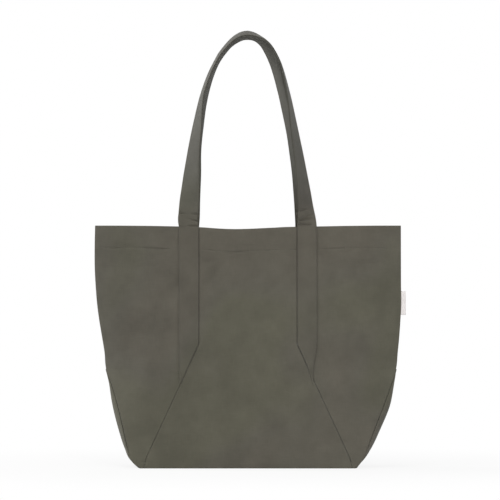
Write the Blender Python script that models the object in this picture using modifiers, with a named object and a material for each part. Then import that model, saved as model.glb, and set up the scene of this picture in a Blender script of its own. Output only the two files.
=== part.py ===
"""Canvas shopping bag with two twisted shoulder straps.

Metres, +Z up. The origin is the middle of the base's underside, the front wall faces -Y, and +X is to
the right of someone who looks at the front. Heights are counted from the table the bag stands on.
"""

import math

import bmesh
import bpy
import numpy as np
from mathutils import Vector

# The bag's body
BODY_HEIGHT = 0.364
MOUTH_WIDTH = 0.459
MOUTH_DEPTH = 0.060
MOUTH_DIP = 0.005
BASE_WIDTH = 0.324
BASE_DEPTH = 0.130
GUSSET_HEIGHT = 0.147
GUSSET_BULGE = 0.0088
GUSSET_TIP_WIDTH = 0.001
FACING_DEPTH = 0.036

# The straps
STRAP_WIDTH = 0.0295
STRAP_SPREAD = 0.1765
MITRE_HEIGHT = 0.1845
SEAM_FOOT_INSET = 0.003
LOOP_RISE = 0.2895
REAR_LOOP_DROP = 0.0035
LOOP_SWAY = 0.0035
REAR_LOOP_SWAY = 0.0068
REAR_LOOP_DRAW = 0.0057
LOOP_CLEARANCE = 0.002

# Cloth thicknesses, and the gaps between touching pieces
CANVAS = 0.0011
STRAP_THICKNESS = 0.0024
TAPE_THICKNESS = 0.0014
TAPE_WIDTH = 0.010
GAP = 0.0003
LEG_GAP = 0.0004
TAPE_GAP = 0.0005
HINGE_INSET = 0.0003

# The label in the side seam
LABEL_HEIGHT = 0.036
LABEL_REACH = 0.0065
LABEL_THICKNESS = 0.0008
LABEL_FOOT = 0.230

# How the loops turn: the strap faces forward at the mouth and up at the crown
TWIST_MOST = math.radians(71)
TWIST_HEIGHT_share = 0.36
TWIST_POWER = 1.7
SETTLE_HEIGHT_share = 0.65

# How round the walls are from one side seam to the other, as a power
WALL_ROUNDNESS_POWER = 3.5

# The side seams' outline: (height as a share of BODY_HEIGHT, width as a share of the way from the base's
# half width to the mouth's). The bag sits a little fuller on its right.
LEFT_EDGE_shares = (
    (0, 0), (0.055, 0.222), (0.13, 0.31), (0.23, 0.44), (0.315, 0.594),
    (0.404, 0.756), (0.54, 0.85), (0.74, 0.978), (1, 1),
)
RIGHT_EDGE_shares = (
    (0, 0), (0.055, 0.24), (0.13, 0.40), (0.24, 0.57), (0.335, 0.79),
    (0.404, 0.88), (0.54, 0.964), (0.74, 1.0), (1, 1),
)

# Half of a strap's loop: (distance from the middle as a share of the legs' offset, height as a share of
# the rise), from the mouth to the crown
LOOP_shares = (
    (1, 0), (0.998, 0.03), (0.944, 0.2), (0.876, 0.37), (0.795, 0.54), (0.7, 0.7),
    (0.616, 0.79), (0.505, 0.87), (0.35, 0.94), (0.19, 0.983), (0, 1),
)

# Rows crowd towards the foot and columns towards the side seams, where the walls bend most
FOOT_CROWDING_POWER = 1.35
EDGE_CROWDING_POWER = 1.5

# How far apart the heights and places lie between which a wall's slope is measured
SLOPE_STEP_share = 0.0005

# How finely the cloth is divided, and each span of a drawn curve
GUSSET_ROW_COUNT = 9
MITRE_ROW_COUNT = 2
UPPER_ROW_COUNT = 6
CENTRE_COLUMN_COUNT = 10
SIDE_COLUMN_COUNT = 8
GUSSET_COLUMN_COUNT = 6
FACING_COLUMN_COUNT = 16
FACING_ROW_COUNT = 2
LEG_ROW_COUNT = 7
LOOP_ROW_COUNT = 52
STRAP_COLUMN_COUNT = 3
TAPE_COLUMN_COUNT = 2
TAPE_ROW_COUNT = 8
BASE_TAPE_COLUMN_COUNT = 16
BASE_TAPE_ROW_COUNT = 1
LABEL_COLUMN_COUNT = 2
LABEL_ROW_COUNT = 3
FINE_STEP_COUNT = 16

# Faces of the bag and hands of each face, as directions along Y and X
FRONT, REAR = -1, 1
LEFT, RIGHT = -1, 1
FACE_NAMES = {FRONT: "front", REAR: "rear"}
HAND_NAMES = {LEFT: "left", RIGHT: "right"}

# Colours, as linear red, green and blue
CANVAS_COLOUR = (0.105, 0.098, 0.078)
TAPE_COLOUR = (0.088, 0.083, 0.066)
LABEL_COLOUR = (0.80, 0.78, 0.74)
CLOTH_ROUGHNESS = 0.9

# Sizes that follow from the ones above
HALF_MOUTH = MOUTH_WIDTH / 2
HALF_BASE = BASE_WIDTH / 2
SEAM_HALF_DEPTH = (CANVAS + GAP) / 2
WALL_FOOT = CANVAS + GAP
STRAP_OFFSET = STRAP_SPREAD / 2
STRAP_INNER = STRAP_OFFSET - STRAP_WIDTH / 2
STRAP_OUTER = STRAP_OFFSET + STRAP_WIDTH / 2
SEAM_FOOT = HALF_BASE - SEAM_FOOT_INSET
SLOPE_STEP = BODY_HEIGHT * SLOPE_STEP_share


def smooth(t):
    """0 to 1, easing in and out."""
    t = min(max(t, 0), 1)
    return t * t * (3 - 2 * t)


def mix(low, high, t):
    return low + (high - low) * t


def through(points, place):
    """Value at a place on the smooth curve through points, each a place and its value."""
    places, values = np.array(points, float).T
    slopes = np.gradient(values, places)
    k = min(max(int(np.searchsorted(places, place)) - 1, 0), len(places) - 2)
    step = places[k + 1] - places[k]
    t = (place - places[k]) / step
    start = (1 + 2 * t) * (1 - t) ** 2 * values[k] + t * (1 - t) ** 2 * step * slopes[k]
    end = t * t * (3 - 2 * t) * values[k + 1] + t * t * (t - 1) * step * slopes[k + 1]
    return float(start + end)


def edge_x(z, hand):
    """Half width of the bag at its side edge."""
    shares = LEFT_EDGE_shares if hand == LEFT else RIGHT_EDGE_shares
    return mix(HALF_BASE, HALF_MOUTH, through(shares, z / BODY_HEIGHT))


def edge_depth(z):
    """Half depth at the side edge: the gusset's front edge, and above its point the side seam."""
    return mix(BASE_DEPTH / 2, SEAM_HALF_DEPTH, min(z / GUSSET_HEIGHT, 1))


def middle_depth(z):
    """Half depth in the middle of the bag."""
    return mix(BASE_DEPTH, MOUTH_DEPTH, z / BODY_HEIGHT) / 2


def wall_depth(x, z):
    """Half depth of the wall's middle surface at x."""
    share = min(abs(x) / edge_x(z, LEFT if x < 0 else RIGHT), 1)
    return edge_depth(z) + (middle_depth(z) - edge_depth(z)) * (1 - share**WALL_ROUNDNESS_POWER)


def inside_wall(x, z, face, inward):
    """A point this far inside the wall's middle surface, square to it."""
    slope_x = (wall_depth(x + SLOPE_STEP, z) - wall_depth(x - SLOPE_STEP, z)) / (2 * SLOPE_STEP)
    slope_z = (wall_depth(x, z + SLOPE_STEP) - wall_depth(x, z - SLOPE_STEP)) / (2 * SLOPE_STEP)
    outward = Vector((-slope_x, face, -slope_z)).normalized()
    return Vector((x, face * wall_depth(x, z), z)) - outward * inward


def x_where_deep(z, hand, depth):
    """How far out the wall still stands at least this far from the bag's middle plane."""
    room = (middle_depth(z) - depth) / (middle_depth(z) - edge_depth(z))
    return edge_x(z, hand) * min(max(room, 0), 1) ** (1 / WALL_ROUNDNESS_POWER)


def seam_x(z):
    """Half width of the centre panel: straight beside the strap, then out to the bottom corner."""
    return mix(SEAM_FOOT, STRAP_INNER, min(z / MITRE_HEIGHT, 1))


def mitre_z(x):
    """Height of the slanted seam at x."""
    return MITRE_HEIGHT * (SEAM_FOOT - x) / (SEAM_FOOT - STRAP_INNER)


def mouth_z(x):
    """Height of the mouth's edge, which dips between the side seams."""
    return BODY_HEIGHT - MOUTH_DIP * (1 - min(abs(x) / HALF_MOUTH, 1) ** 2)


HINGE_HEIGHT = mouth_z(STRAP_OFFSET) + GAP
LEG_DEPTH = CANVAS / 2 + LEG_GAP + STRAP_THICKNESS / 2
LOOP_FOOT_DEPTH = wall_depth(STRAP_OFFSET, HINGE_HEIGHT) + LEG_DEPTH
HINGE_DEPTH = LOOP_FOOT_DEPTH + STRAP_THICKNESS / 2 + HINGE_INSET
LOOP_TOP_DEPTH = (STRAP_WIDTH * math.sin(TWIST_MOST) + STRAP_THICKNESS + LOOP_CLEARANCE) / 2


def row_heights():
    """The heights of the walls' rows, with one at the gusset's point and one at the strap's mitre."""
    bands = (
        (GUSSET_HEIGHT, GUSSET_ROW_COUNT, FOOT_CROWDING_POWER),
        (MITRE_HEIGHT, MITRE_ROW_COUNT, 1),
        (BODY_HEIGHT, UPPER_ROW_COUNT, 1),
    )
    heights = [WALL_FOOT]
    for top, count, power in bands:
        low = heights[-1]
        heights += [mix(low, top, (k / count) ** power) for k in range(1, count + 1)]
    return heights


WALL_HEIGHTS = row_heights()
WALL_ROW_COUNT = len(WALL_HEIGHTS) - 1


def wall_z(v, x_at_mouth):
    """Height of a wall's row, v from 0 at the foot to 1 at the mouth, drawn down where the mouth dips."""
    z = np.interp(v * WALL_ROW_COUNT, range(WALL_ROW_COUNT + 1), WALL_HEIGHTS)
    return mix(WALL_FOOT, mouth_z(x_at_mouth), (z - WALL_FOOT) / (BODY_HEIGHT - WALL_FOOT))


def clear_scene():
    for item in list(bpy.data.objects):
        bpy.data.objects.remove(item)


def paint(item, colour):
    """Gives a piece its own cloth material."""
    material = bpy.data.materials.new(item.name + "_cloth")
    material.use_nodes = True
    shader = material.node_tree.nodes["Principled BSDF"]
    shader.inputs["Base Color"].default_value = (*colour, 1)
    shader.inputs["Roughness"].default_value = CLOTH_ROUGHNESS
    shader.inputs["Metallic"].default_value = 0
    item.data.materials.append(material)


def cloth(bag, name, columns, rows, place, thickness, colour=CANVAS_COLOUR, origin=(0, 0, 0)):
    """A sheet of cloth of even thickness. place(u, v) gives its middle surface, u across and v up."""
    mesh_builder = bmesh.new()
    bmesh.ops.create_grid(mesh_builder, x_segments=columns, y_segments=rows, size=1)
    for vertex in mesh_builder.verts:
        u, v = (vertex.co.x + 1) / 2, (vertex.co.y + 1) / 2
        vertex.co = Vector(place(u, v)) - Vector(origin)
    mesh = bpy.data.meshes.new(name)
    mesh_builder.to_mesh(mesh)
    mesh_builder.free()
    mesh.shade_smooth()
    item = bpy.data.objects.new(name, mesh)
    item.location = origin
    bag.objects.link(item)
    shell = item.modifiers.new("thickness", "SOLIDIFY")
    shell.thickness = thickness
    shell.offset = 0
    shell.use_even_offset = True
    shell.use_quality_normals = True
    paint(item, colour)


def make_centre_panel(bag, face):
    half_gap = GAP / 2

    def place(u, v):
        across = 2 * u - 1
        z = wall_z(v, across * STRAP_INNER)
        x = across * (seam_x(z) - half_gap)
        return x, face * wall_depth(x, z), z

    cloth(bag, FACE_NAMES[face] + "_centre_panel", CENTRE_COLUMN_COUNT, WALL_ROW_COUNT, place, CANVAS)


def make_side_panel(bag, face, hand):
    half_gap = GAP / 2

    def place(u, v):
        u = 1 - (1 - u) ** EDGE_CROWDING_POWER
        z = wall_z(v, mix(STRAP_INNER, HALF_MOUTH, u))
        x = hand * mix(seam_x(z) + half_gap, edge_x(z, hand), u)
        return x, face * wall_depth(x, z), z

    name = f"{FACE_NAMES[face]}_{HAND_NAMES[hand]}_panel"
    cloth(bag, name, SIDE_COLUMN_COUNT, WALL_ROW_COUNT, place, CANVAS)


def make_gusset(bag, hand):
    """The triangle between the walls. Its edges stop short of their inner faces, and it bows outward."""
    clear = CANVAS + GAP
    run = BASE_DEPTH / 2 - SEAM_HALF_DEPTH
    tip = GUSSET_HEIGHT * (BASE_DEPTH / 2 - clear - GUSSET_TIP_WIDTH / 2) / run
    heights = WALL_HEIGHTS[:GUSSET_ROW_COUNT] + [tip]

    def place(u, v):
        across = 2 * u - 1
        z = np.interp(v * GUSSET_ROW_COUNT, range(GUSSET_ROW_COUNT + 1), heights)
        bow = GUSSET_BULGE * math.sin(math.pi * z / GUSSET_HEIGHT) * (1 - across**2)
        return hand * (edge_x(z, hand) - CANVAS / 2 + bow), across * (edge_depth(z) - clear), z

    cloth(bag, HAND_NAMES[hand] + "_gusset", GUSSET_COLUMN_COUNT, GUSSET_ROW_COUNT, place, CANVAS)


def make_base(bag):
    def place(u, v):
        return mix(-HALF_BASE, HALF_BASE, u), mix(-BASE_DEPTH, BASE_DEPTH, v) / 2, CANVAS / 2

    cloth(bag, "base_panel", 1, 1, place, CANVAS)


def make_facing(bag, face):
    """The strip that lines the mouth, as deep as its stitched line lies below the edge."""
    inward = CANVAS + GAP

    def place(u, v):
        across = 2 * u - 1
        hand = LEFT if across < 0 else RIGHT
        x_guess = across * HALF_MOUTH
        z = mouth_z(x_guess) - FACING_DEPTH * (1 - v)
        x = across * x_where_deep(z, hand, inward + SEAM_HALF_DEPTH + GAP)
        return inside_wall(x, z, face, inward)

    cloth(bag, FACE_NAMES[face] + "_mouth_facing", FACING_COLUMN_COUNT, FACING_ROW_COUNT, place, CANVAS)


def make_strap_leg(bag, face, hand):
    """The sewn end of a strap, on the outside of a side panel, cut along the slanted seam."""
    top = HINGE_HEIGHT - GAP

    def place(u, v):
        x = mix(STRAP_INNER + GAP, STRAP_OUTER, u)
        z = mix(mitre_z(x) + GAP, top, v)
        return hand * x, face * (wall_depth(hand * x, z) + LEG_DEPTH), z

    name = f"{FACE_NAMES[face]}_{HAND_NAMES[hand]}_strap_leg"
    cloth(bag, name, STRAP_COLUMN_COUNT, LEG_ROW_COUNT, place, STRAP_THICKNESS)


def even_line(points, count):
    """count + 1 evenly spaced points on the smooth curve through points."""
    points = np.array(points, float)
    chords = np.linalg.norm(np.diff(points, axis=0), axis=1)
    at = np.concatenate([[0], np.cumsum(chords)])
    pieces = FINE_STEP_COUNT * len(points)
    fine = np.array(
        [
            [through(list(zip(at, column)), at[-1] * k / pieces) for column in points.T]
            for k in range(pieces + 1)
        ]
    )
    lengths = np.concatenate([[0], np.cumsum(np.linalg.norm(np.diff(fine, axis=0), axis=1))])
    wanted = np.linspace(0, lengths[-1], count + 1)
    return np.array([np.interp(wanted, lengths, column) for column in fine.T]).T


def loop_line(face):
    """The centre line of a strap's free loop, from its left foot over the crown to its right foot."""
    rise = LOOP_RISE - (REAR_LOOP_DROP if face == REAR else 0)
    sway = REAR_LOOP_SWAY if face == REAR else LOOP_SWAY
    draw = REAR_LOOP_DRAW if face == REAR else 0

    def place(hand, out, up):
        settled = smooth(up / SETTLE_HEIGHT_share)
        x = hand * out * (STRAP_OFFSET - draw * settled) - sway * settled
        return x, face * mix(LOOP_FOOT_DEPTH, LOOP_TOP_DEPTH, up), HINGE_HEIGHT + rise * up

    left = [place(LEFT, out, up) for out, up in LOOP_shares]
    right = [place(RIGHT, out, up) for out, up in LOOP_shares[-2::-1]]
    return even_line(left + right, LOOP_ROW_COUNT)


def make_handle(bag, face):
    """The free loop of a strap. Its face turns from outward at the mouth to upward at the crown."""
    line = loop_line(face)
    along = np.gradient(line, axis=0)
    along /= np.linalg.norm(along, axis=1)[:, None]
    along[0], along[-1] = (0, 0, 1), (0, 0, -1)  # the feet stand square on the mouth's edge
    rise = line[:, 2].max() - HINGE_HEIGHT

    def place(u, v):
        row = round(v * LOOP_ROW_COUNT)
        forward = Vector(along[row])
        up = (line[row][2] - HINGE_HEIGHT) / rise
        turn = TWIST_MOST * (1 - math.exp(-((up / TWIST_HEIGHT_share) ** TWIST_POWER)))
        outward = Vector((-forward.z, 0, forward.x)).normalized()
        normal = math.cos(turn) * Vector((0, face, 0)) + math.sin(turn) * outward
        across = forward.cross(normal).normalized()
        return Vector(line[row]) + across * (u - 1 / 2) * STRAP_WIDTH

    hinge = (0, face * HINGE_DEPTH, HINGE_HEIGHT)
    name = FACE_NAMES[face] + "_handle"
    cloth(bag, name, STRAP_COLUMN_COUNT, LOOP_ROW_COUNT, place, STRAP_THICKNESS, origin=hinge)


def make_label(bag):
    """The folded label that stands out of the right side seam, on a hinge line beside the seam."""
    middle = LABEL_FOOT + LABEL_HEIGHT / 2
    reach_out = edge_x(middle, RIGHT) + CANVAS / 2 + GAP + LABEL_THICKNESS / 2

    def place(u, v):
        return reach_out + LABEL_REACH * u, 0, LABEL_FOOT + LABEL_HEIGHT * v

    origin = (reach_out, 0, middle)
    counts = (LABEL_COLUMN_COUNT, LABEL_ROW_COUNT)
    cloth(bag, "side_label", *counts, place, LABEL_THICKNESS, LABEL_COLOUR, origin)


def make_side_binding(bag, hand):
    """Tape round the raw edges of a side seam, standing inward from it, between gusset and facing."""
    foot = GUSSET_HEIGHT + GAP
    top = BODY_HEIGHT - FACING_DEPTH - GAP - CANVAS / 2
    room = TAPE_THICKNESS / 2 + CANVAS / 2 + GAP

    def place(u, v):
        z = mix(foot, top, v)
        return hand * (x_where_deep(z, hand, room + GAP) - TAPE_WIDTH * u), 0, z

    name = HAND_NAMES[hand] + "_side_seam_binding"
    cloth(bag, name, TAPE_COLUMN_COUNT, TAPE_ROW_COUNT, place, TAPE_THICKNESS, TAPE_COLOUR)


BINDING_DEPTH = (CANVAS + TAPE_THICKNESS) / 2 + TAPE_GAP
BASE_BINDING_TOP = WALL_FOOT + TAPE_GAP + TAPE_WIDTH


def make_base_binding(bag, face):
    """Tape over the seam of wall and base, lying up the inside of the wall's foot."""

    def place(u, v):
        across = 2 * u - 1
        hand = LEFT if across < 0 else RIGHT
        z = mix(WALL_FOOT + TAPE_GAP, BASE_BINDING_TOP, v)
        x = across * (edge_x(WALL_FOOT, hand) - CANVAS - TAPE_GAP)
        return x, face * (wall_depth(x, z) - BINDING_DEPTH), z

    name = FACE_NAMES[face] + "_base_seam_binding"
    counts = (BASE_TAPE_COLUMN_COUNT, BASE_TAPE_ROW_COUNT)
    cloth(bag, name, *counts, place, TAPE_THICKNESS, TAPE_COLOUR)


def make_gusset_binding(bag, face, hand):
    """Tape over the seam of wall and gusset, lying on the inside of the wall."""
    foot = BASE_BINDING_TOP + BINDING_DEPTH
    top = GUSSET_HEIGHT - TAPE_WIDTH

    def place(u, v):
        z = mix(foot, top, v)
        x = hand * (edge_x(z, hand) - 2 * CANVAS - TAPE_GAP - TAPE_WIDTH * (1 - u))
        return inside_wall(x, z, face, BINDING_DEPTH)

    name = f"{FACE_NAMES[face]}_{HAND_NAMES[hand]}_gusset_seam_binding"
    cloth(bag, name, TAPE_COLUMN_COUNT, TAPE_ROW_COUNT, place, TAPE_THICKNESS, TAPE_COLOUR)


def main():
    clear_scene()
    bag = bpy.data.collections.new("shopping_bag")
    bpy.context.scene.collection.children.link(bag)
    make_base(bag)
    for face in (FRONT, REAR):
        make_centre_panel(bag, face)
        make_facing(bag, face)
        make_base_binding(bag, face)
        make_handle(bag, face)
        for hand in (LEFT, RIGHT):
            make_side_panel(bag, face, hand)
            make_strap_leg(bag, face, hand)
            make_gusset_binding(bag, face, hand)
    for hand in (LEFT, RIGHT):
        make_gusset(bag, hand)
        make_side_binding(bag, hand)
    make_label(bag)


main()
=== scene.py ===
"""Looks of a canvas shopping bag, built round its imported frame. Metres, +Z up, the front wall faces -Y."""

import math

import bmesh
import bpy
import numpy as np
from bpy.props import FloatProperty, FloatVectorProperty, PointerProperty
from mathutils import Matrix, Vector, noise


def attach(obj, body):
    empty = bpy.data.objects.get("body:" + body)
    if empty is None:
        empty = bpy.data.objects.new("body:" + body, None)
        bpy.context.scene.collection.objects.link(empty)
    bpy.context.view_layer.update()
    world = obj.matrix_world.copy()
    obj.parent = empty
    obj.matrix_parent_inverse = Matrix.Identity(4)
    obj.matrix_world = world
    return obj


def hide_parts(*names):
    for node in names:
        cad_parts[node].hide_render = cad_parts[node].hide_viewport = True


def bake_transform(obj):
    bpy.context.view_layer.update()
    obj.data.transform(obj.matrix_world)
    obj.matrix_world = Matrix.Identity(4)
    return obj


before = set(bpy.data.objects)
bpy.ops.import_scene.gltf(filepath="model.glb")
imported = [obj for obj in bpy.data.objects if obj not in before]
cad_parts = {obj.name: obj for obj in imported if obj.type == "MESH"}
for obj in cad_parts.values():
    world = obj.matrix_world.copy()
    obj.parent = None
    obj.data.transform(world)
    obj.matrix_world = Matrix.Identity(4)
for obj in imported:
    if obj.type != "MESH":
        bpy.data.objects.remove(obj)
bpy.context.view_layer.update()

bl_info = {
    "name": "Canvas shopping bag",
    "version": (1, 0, 0),
    "blender": (4, 5, 0),
    "location": "3D View > Sidebar > Shopping bag",
    "description": "Sews the cloth of a canvas shopping bag round its frame",
    "category": "Add Mesh",
}

# The bag's body, as in the part's source
BODY_HEIGHT = 0.364
MOUTH_WIDTH = 0.459
MOUTH_DEPTH = 0.060
MOUTH_DIP = 0.005
BASE_WIDTH = 0.324
BASE_DEPTH = 0.130
GUSSET_HEIGHT = 0.147
FACING_DEPTH = 0.036
WALL_ROUNDNESS = 3.5
HALF_MOUTH = MOUTH_WIDTH / 2
HALF_BASE = BASE_WIDTH / 2
# From the side edge in to where the walls' cloth starts to turn, at the foot and from the gussets' points up
TURN_INSET = (0.0016, 0.0008)
# Half depths of the bag at the gussets' points and at the side seams above them
POINT_DEPTH = 0.0037
SIDE_DEPTH = 0.0022

# The straps, as in the part's source
STRAP_WIDTH = 0.0295
STRAP_OFFSET = 0.1765 / 2
STRAP_THICKNESS = 0.0024
STRAP_INNER = STRAP_OFFSET - STRAP_WIDTH / 2
STRAP_OUTER = STRAP_OFFSET + STRAP_WIDTH / 2
MITRE_HEIGHT = 0.1845
SEAM_FOOT = HALF_BASE - 0.003
SEAM_SLANT = math.hypot(1, (SEAM_FOOT - STRAP_INNER) / MITRE_HEIGHT)
LEG_DEPTH = 0.00215
HINGE_HEIGHT = 0.3600393
LOOP_FOOT_DEPTH = 0.0314844
LOOP_TOP_DEPTH = 0.01615

# The side label and the seam bindings, as in the part's source, with the label 2 mm lower as photographed
LABEL_FOOT = 0.228
LABEL_HEIGHT = 0.036
LABEL_REACH = 0.0065
LABEL_SEAM = 0.2304057
TAPE_WIDTH = 0.010
# A tape starts this far in from its seam and lies this far off the cloth
TAPE_OFF_SEAM, TAPE_OFF_CLOTH = 0.0006, 0.00012
# Distance between a tape's mesh lines, across and along, as the twill's pattern takes it
TAPE_COLUMN, TAPE_ROW = 0.0016, 0.0035

# How the cloth is made up: radii on which edges turn, allowances and the room left between cloths
SEAM_ROLL = 0.0006
TOP_ROLL = 0.0006
FACING_ROLL = 0.00055
SEAM_ALLOWANCE = 0.003
MOUTH_ALLOWANCE = 0.0008
UNDER_FACING_ALLOWANCE = 0.0055
FACING_TURNED_UNDER = 0.005
SEAM_CLEARANCE = 0.00004
CLOTH_CLEARANCE = 0.00005
# From the wall's middle surface in to the facing's, and the facing's own thickness
FACING_IN = 0.00215
FACING_CLOTH = 0.0008
# The facing's stitched line runs this far above its lower edge
FACING_SEWN = 0.002
# A strap is this much narrower at each edge than its seams' band, and its sewn middle lies as much out
STRAP_TRIM = 0.00015
HALF_STRAP = STRAP_WIDTH / 2 - STRAP_TRIM
STRAP_GROOVE = 0.0122
# Mesh lines across each sewn end of a strap
LEG_LINES = 62

# Outlines of the two side seams: (height, width), as shares
LEFT_EDGE = (
    (0, -0.020), (0.0115, 0.058), (0.036, 0.183), (0.0775, 0.258), (0.143, 0.341), (0.21, 0.427),
    (0.2755, 0.519), (0.3415, 0.630), (0.404, 0.756), (0.4737, 0.794), (0.54, 0.852), (0.606, 0.911),
    (0.67, 0.956), (0.74, 0.987), (0.83, 1.011), (0.91, 1.011), (1, 1),
)
RIGHT_EDGE = (
    (0, -0.020), (0.0115, 0.024), (0.036, 0.132), (0.0775, 0.236), (0.143, 0.369), (0.21, 0.511),
    (0.2755, 0.649), (0.3415, 0.781), (0.404, 0.894), (0.4737, 0.934), (0.54, 0.968), (0.606, 0.992),
    (0.67, 1.008), (0.74, 1.005), (1, 1),
)
EDGE_STEPS = 728
MOUTH_STEPS = 200
# How far the mouth's edge stands above its even dip: (x, height)
MOUTH_LIFT = (
    (-0.2295, 0), (-0.205, 0.0003), (-0.145, 0.0006), (-0.108, 0.0010), (-0.080, 0.0006), (-0.065, 0.0),
    (-0.050, -0.0010), (-0.035, -0.0017), (-0.020, -0.0020), (-0.005, -0.0017), (0.010, -0.0012),
    (0.025, -0.0005), (0.040, 0.0001), (0.055, 0.0008), (0.070, 0.0010), (0.108, 0.0010), (0.138, 0.0009),
    (0.168, 0.0004), (0.198, -0.0004), (0.2295, -0.0016),
)
# Middle lines of the two loops, from their left foot over the crown: (x, z, twist in degrees)
FRONT_LOOP = (
    (-0.08885, HINGE_HEIGHT, 0), (-0.0902, 0.3702, 0), (-0.0894, 0.3815, 1), (-0.0884, 0.3929, 4),
    (-0.0863, 0.4167, 24), (-0.0845, 0.4406, 37), (-0.0820, 0.4648, 48), (-0.0792, 0.4889, 57),
    (-0.0760, 0.5131, 64), (-0.0723, 0.5371, 72), (-0.0676, 0.5612, 80), (-0.0592, 0.5852, 81),
    (-0.0479, 0.6091, 82), (-0.0414, 0.6207, 81), (-0.0343, 0.6296, 80), (-0.0264, 0.6383, 79),
    (-0.0178, 0.6451, 77), (-0.0093, 0.6491, 75), (-0.0016, 0.6503, 74), (0.0063, 0.6492, 76),
    (0.0167, 0.6453, 81), (0.0281, 0.6387, 87), (0.0358, 0.6303, 88), (0.0413, 0.6218, 88),
    (0.0472, 0.6098, 88), (0.0524, 0.5948, 88), (0.0552, 0.5838, 86), (0.0599, 0.5615, 81),
    (0.0637, 0.5419, 77), (0.0676, 0.5192, 72), (0.0727, 0.4844, 64), (0.0785, 0.4498, 57),
    (0.0838, 0.4151, 48), (0.0874, 0.3802, 31), (0.0881, 0.3700, 18), (0.08825, HINGE_HEIGHT, 0),
)
REAR_LOOP = (
    (-0.08825, HINGE_HEIGHT, 0), (-0.0874, 0.3708, 4), (-0.0866, 0.3828, 15), (-0.0859, 0.3948, 22),
    (-0.0838, 0.4189, 36), (-0.0813, 0.4427, 47), (-0.0794, 0.4668, 56), (-0.0765, 0.4910, 63),
    (-0.0728, 0.5151, 68), (-0.0686, 0.5392, 73), (-0.0629, 0.5634, 78), (-0.0550, 0.5878, 81),
    (-0.0440, 0.6122, 81), (-0.0350, 0.6249, 81), (-0.0265, 0.6347, 80), (-0.0179, 0.6406, 80),
    (-0.0094, 0.6446, 80), (0.0005, 0.6462, 79), (0.0105, 0.6452, 75), (0.0238, 0.6369, 67),
    (0.0315, 0.6262, 62), (0.0378, 0.6133, 60), (0.0454, 0.5885, 64), (0.0514, 0.5639, 67),
    (0.0567, 0.5397, 68), (0.0621, 0.5158, 66), (0.0674, 0.4917, 62), (0.0719, 0.4676, 57),
    (0.0758, 0.4434, 51), (0.0793, 0.4194, 42), (0.0825, 0.3954, 31), (0.0840, 0.3831, 22),
    (0.0852, 0.3725, 10), (0.0856, 0.3660, 3), (0.08565, HINGE_HEIGHT, 0),
)

FRONT, REAR = -1, 1
LEFT, RIGHT = -1, 1
FACE_NAMES = {FRONT: "front", REAR: "rear"}
HAND_NAMES = {LEFT: "left", RIGHT: "right"}
FACES = (FRONT, REAR)
HANDS = (LEFT, RIGHT)

# The gussets bow out past the side seams' line, stand in from the walls' turned edges and leave a gap there
GUSSET_BULGE = {LEFT: 0.0088, RIGHT: 0.0105}
GUSSET_ROUNDNESS = 6
GUSSET_DROP = 0.0009
GUSSET_GAP = 0.0012

# Soft swells of the walls: (how fine, place in the noise, height)
SWELLS = ((8, 0, 0.0030), (19, 9, 0.0014), (60, 21, 0.00035))

# Creases and hollows of the two walls: (x, z, half length, half width, angle in degrees, depth)
FRONT_CREASES = (
    (-0.114, 0.263, 0.024, 0.009, 52, 0.0032),
    (-0.048, 0.290, 0.028, 0.009, 50, 0.0038),
    (-0.060, 0.307, 0.014, 0.005, 12, 0.0018),
    (-0.145, 0.3275, 0.016, 0.0022, -3, 0.0010),
    (-0.178, 0.331, 0.014, 0.0022, -4, 0.0008),
    (-0.139, 0.302, 0.010, 0.0032, 4, 0.0008),
    (-0.068, 0.322, 0.006, 0.0026, 58, 0.0008),
    (-0.001, 0.332, 0.012, 0.0024, -4, 0.0010),
    (-0.024, 0.321, 0.012, 0.0022, 8, 0.0008),
    (0.058, 0.330, 0.010, 0.0022, 0, 0.0008),
    (0.177, 0.306, 0.018, 0.0028, 3, 0.0016),
    (0.128, 0.304, 0.012, 0.0035, 10, 0.0010),
    (0.150, 0.322, 0.030, 0.006, 24, 0.0008),
    (0.040, 0.272, 0.030, 0.010, 38, 0.0022),
    (0.032, 0.226, 0.016, 0.006, 50, 0.0010),
    (-0.165, 0.190, 0.050, 0.018, 70, 0.0020),
    (0.165, 0.180, 0.050, 0.018, 108, 0.0017),
    (0.020, 0.110, 0.070, 0.026, 12, 0.0020),
    (-0.125, 0.240, 0.024, 0.005, 100, 0.0012),
)
REAR_CREASES = (
    (0.120, 0.250, 0.034, 0.012, 52, 0.0020),
    (-0.140, 0.285, 0.030, 0.012, 118, 0.0020),
    (0.010, 0.300, 0.030, 0.010, 74, 0.0017),
    (0.160, 0.326, 0.016, 0.0022, 3, 0.0010),
    (-0.030, 0.327, 0.018, 0.0022, -3, 0.0010),
    (-0.160, 0.190, 0.050, 0.018, 66, 0.0017),
    (0.150, 0.170, 0.050, 0.018, 112, 0.0017),
    (-0.020, 0.120, 0.070, 0.026, -10, 0.0020),
)
# Creases across the straps just above the mouth: (height, slant, from, to, depth, half width)
STRAP_CREASES = {
    (FRONT, LEFT): (
        (0.0196, 0.02, -1.2, -0.5, 0.0020, 0.0011), (0.0186, 0.16, 0.3, 1.2, 0.0022, 0.0013),
        (0.0140, -0.44, 0.0, 1.2, 0.0024, 0.0014), (0.0016, -0.03, -0.2, 1.2, 0.0022, 0.0012)),
    (FRONT, RIGHT): (
        (0.0262, 0.10, -1.2, -0.2, 0.0018, 0.0016), (0.0158, 0.30, -0.6, 0.3, 0.0022, 0.0018),
        (0.0120, 0.03, -1.2, 0.4, 0.0040, 0.0026), (0.0036, -0.08, -1.2, 0.3, 0.0034, 0.0014)),
    (REAR, LEFT): ((0.0185, -0.12, -1.0, 0.2, 0.0012, 0.0016), (0.0060, 0.05, -0.9, 0.4, 0.0014, 0.0015)),
    (REAR, RIGHT): ((0.0215, 0.10, -1.0, 0.1, 0.0012, 0.0016), (0.0075, -0.06, -0.8, 0.5, 0.0014, 0.0015)),
}
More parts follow.
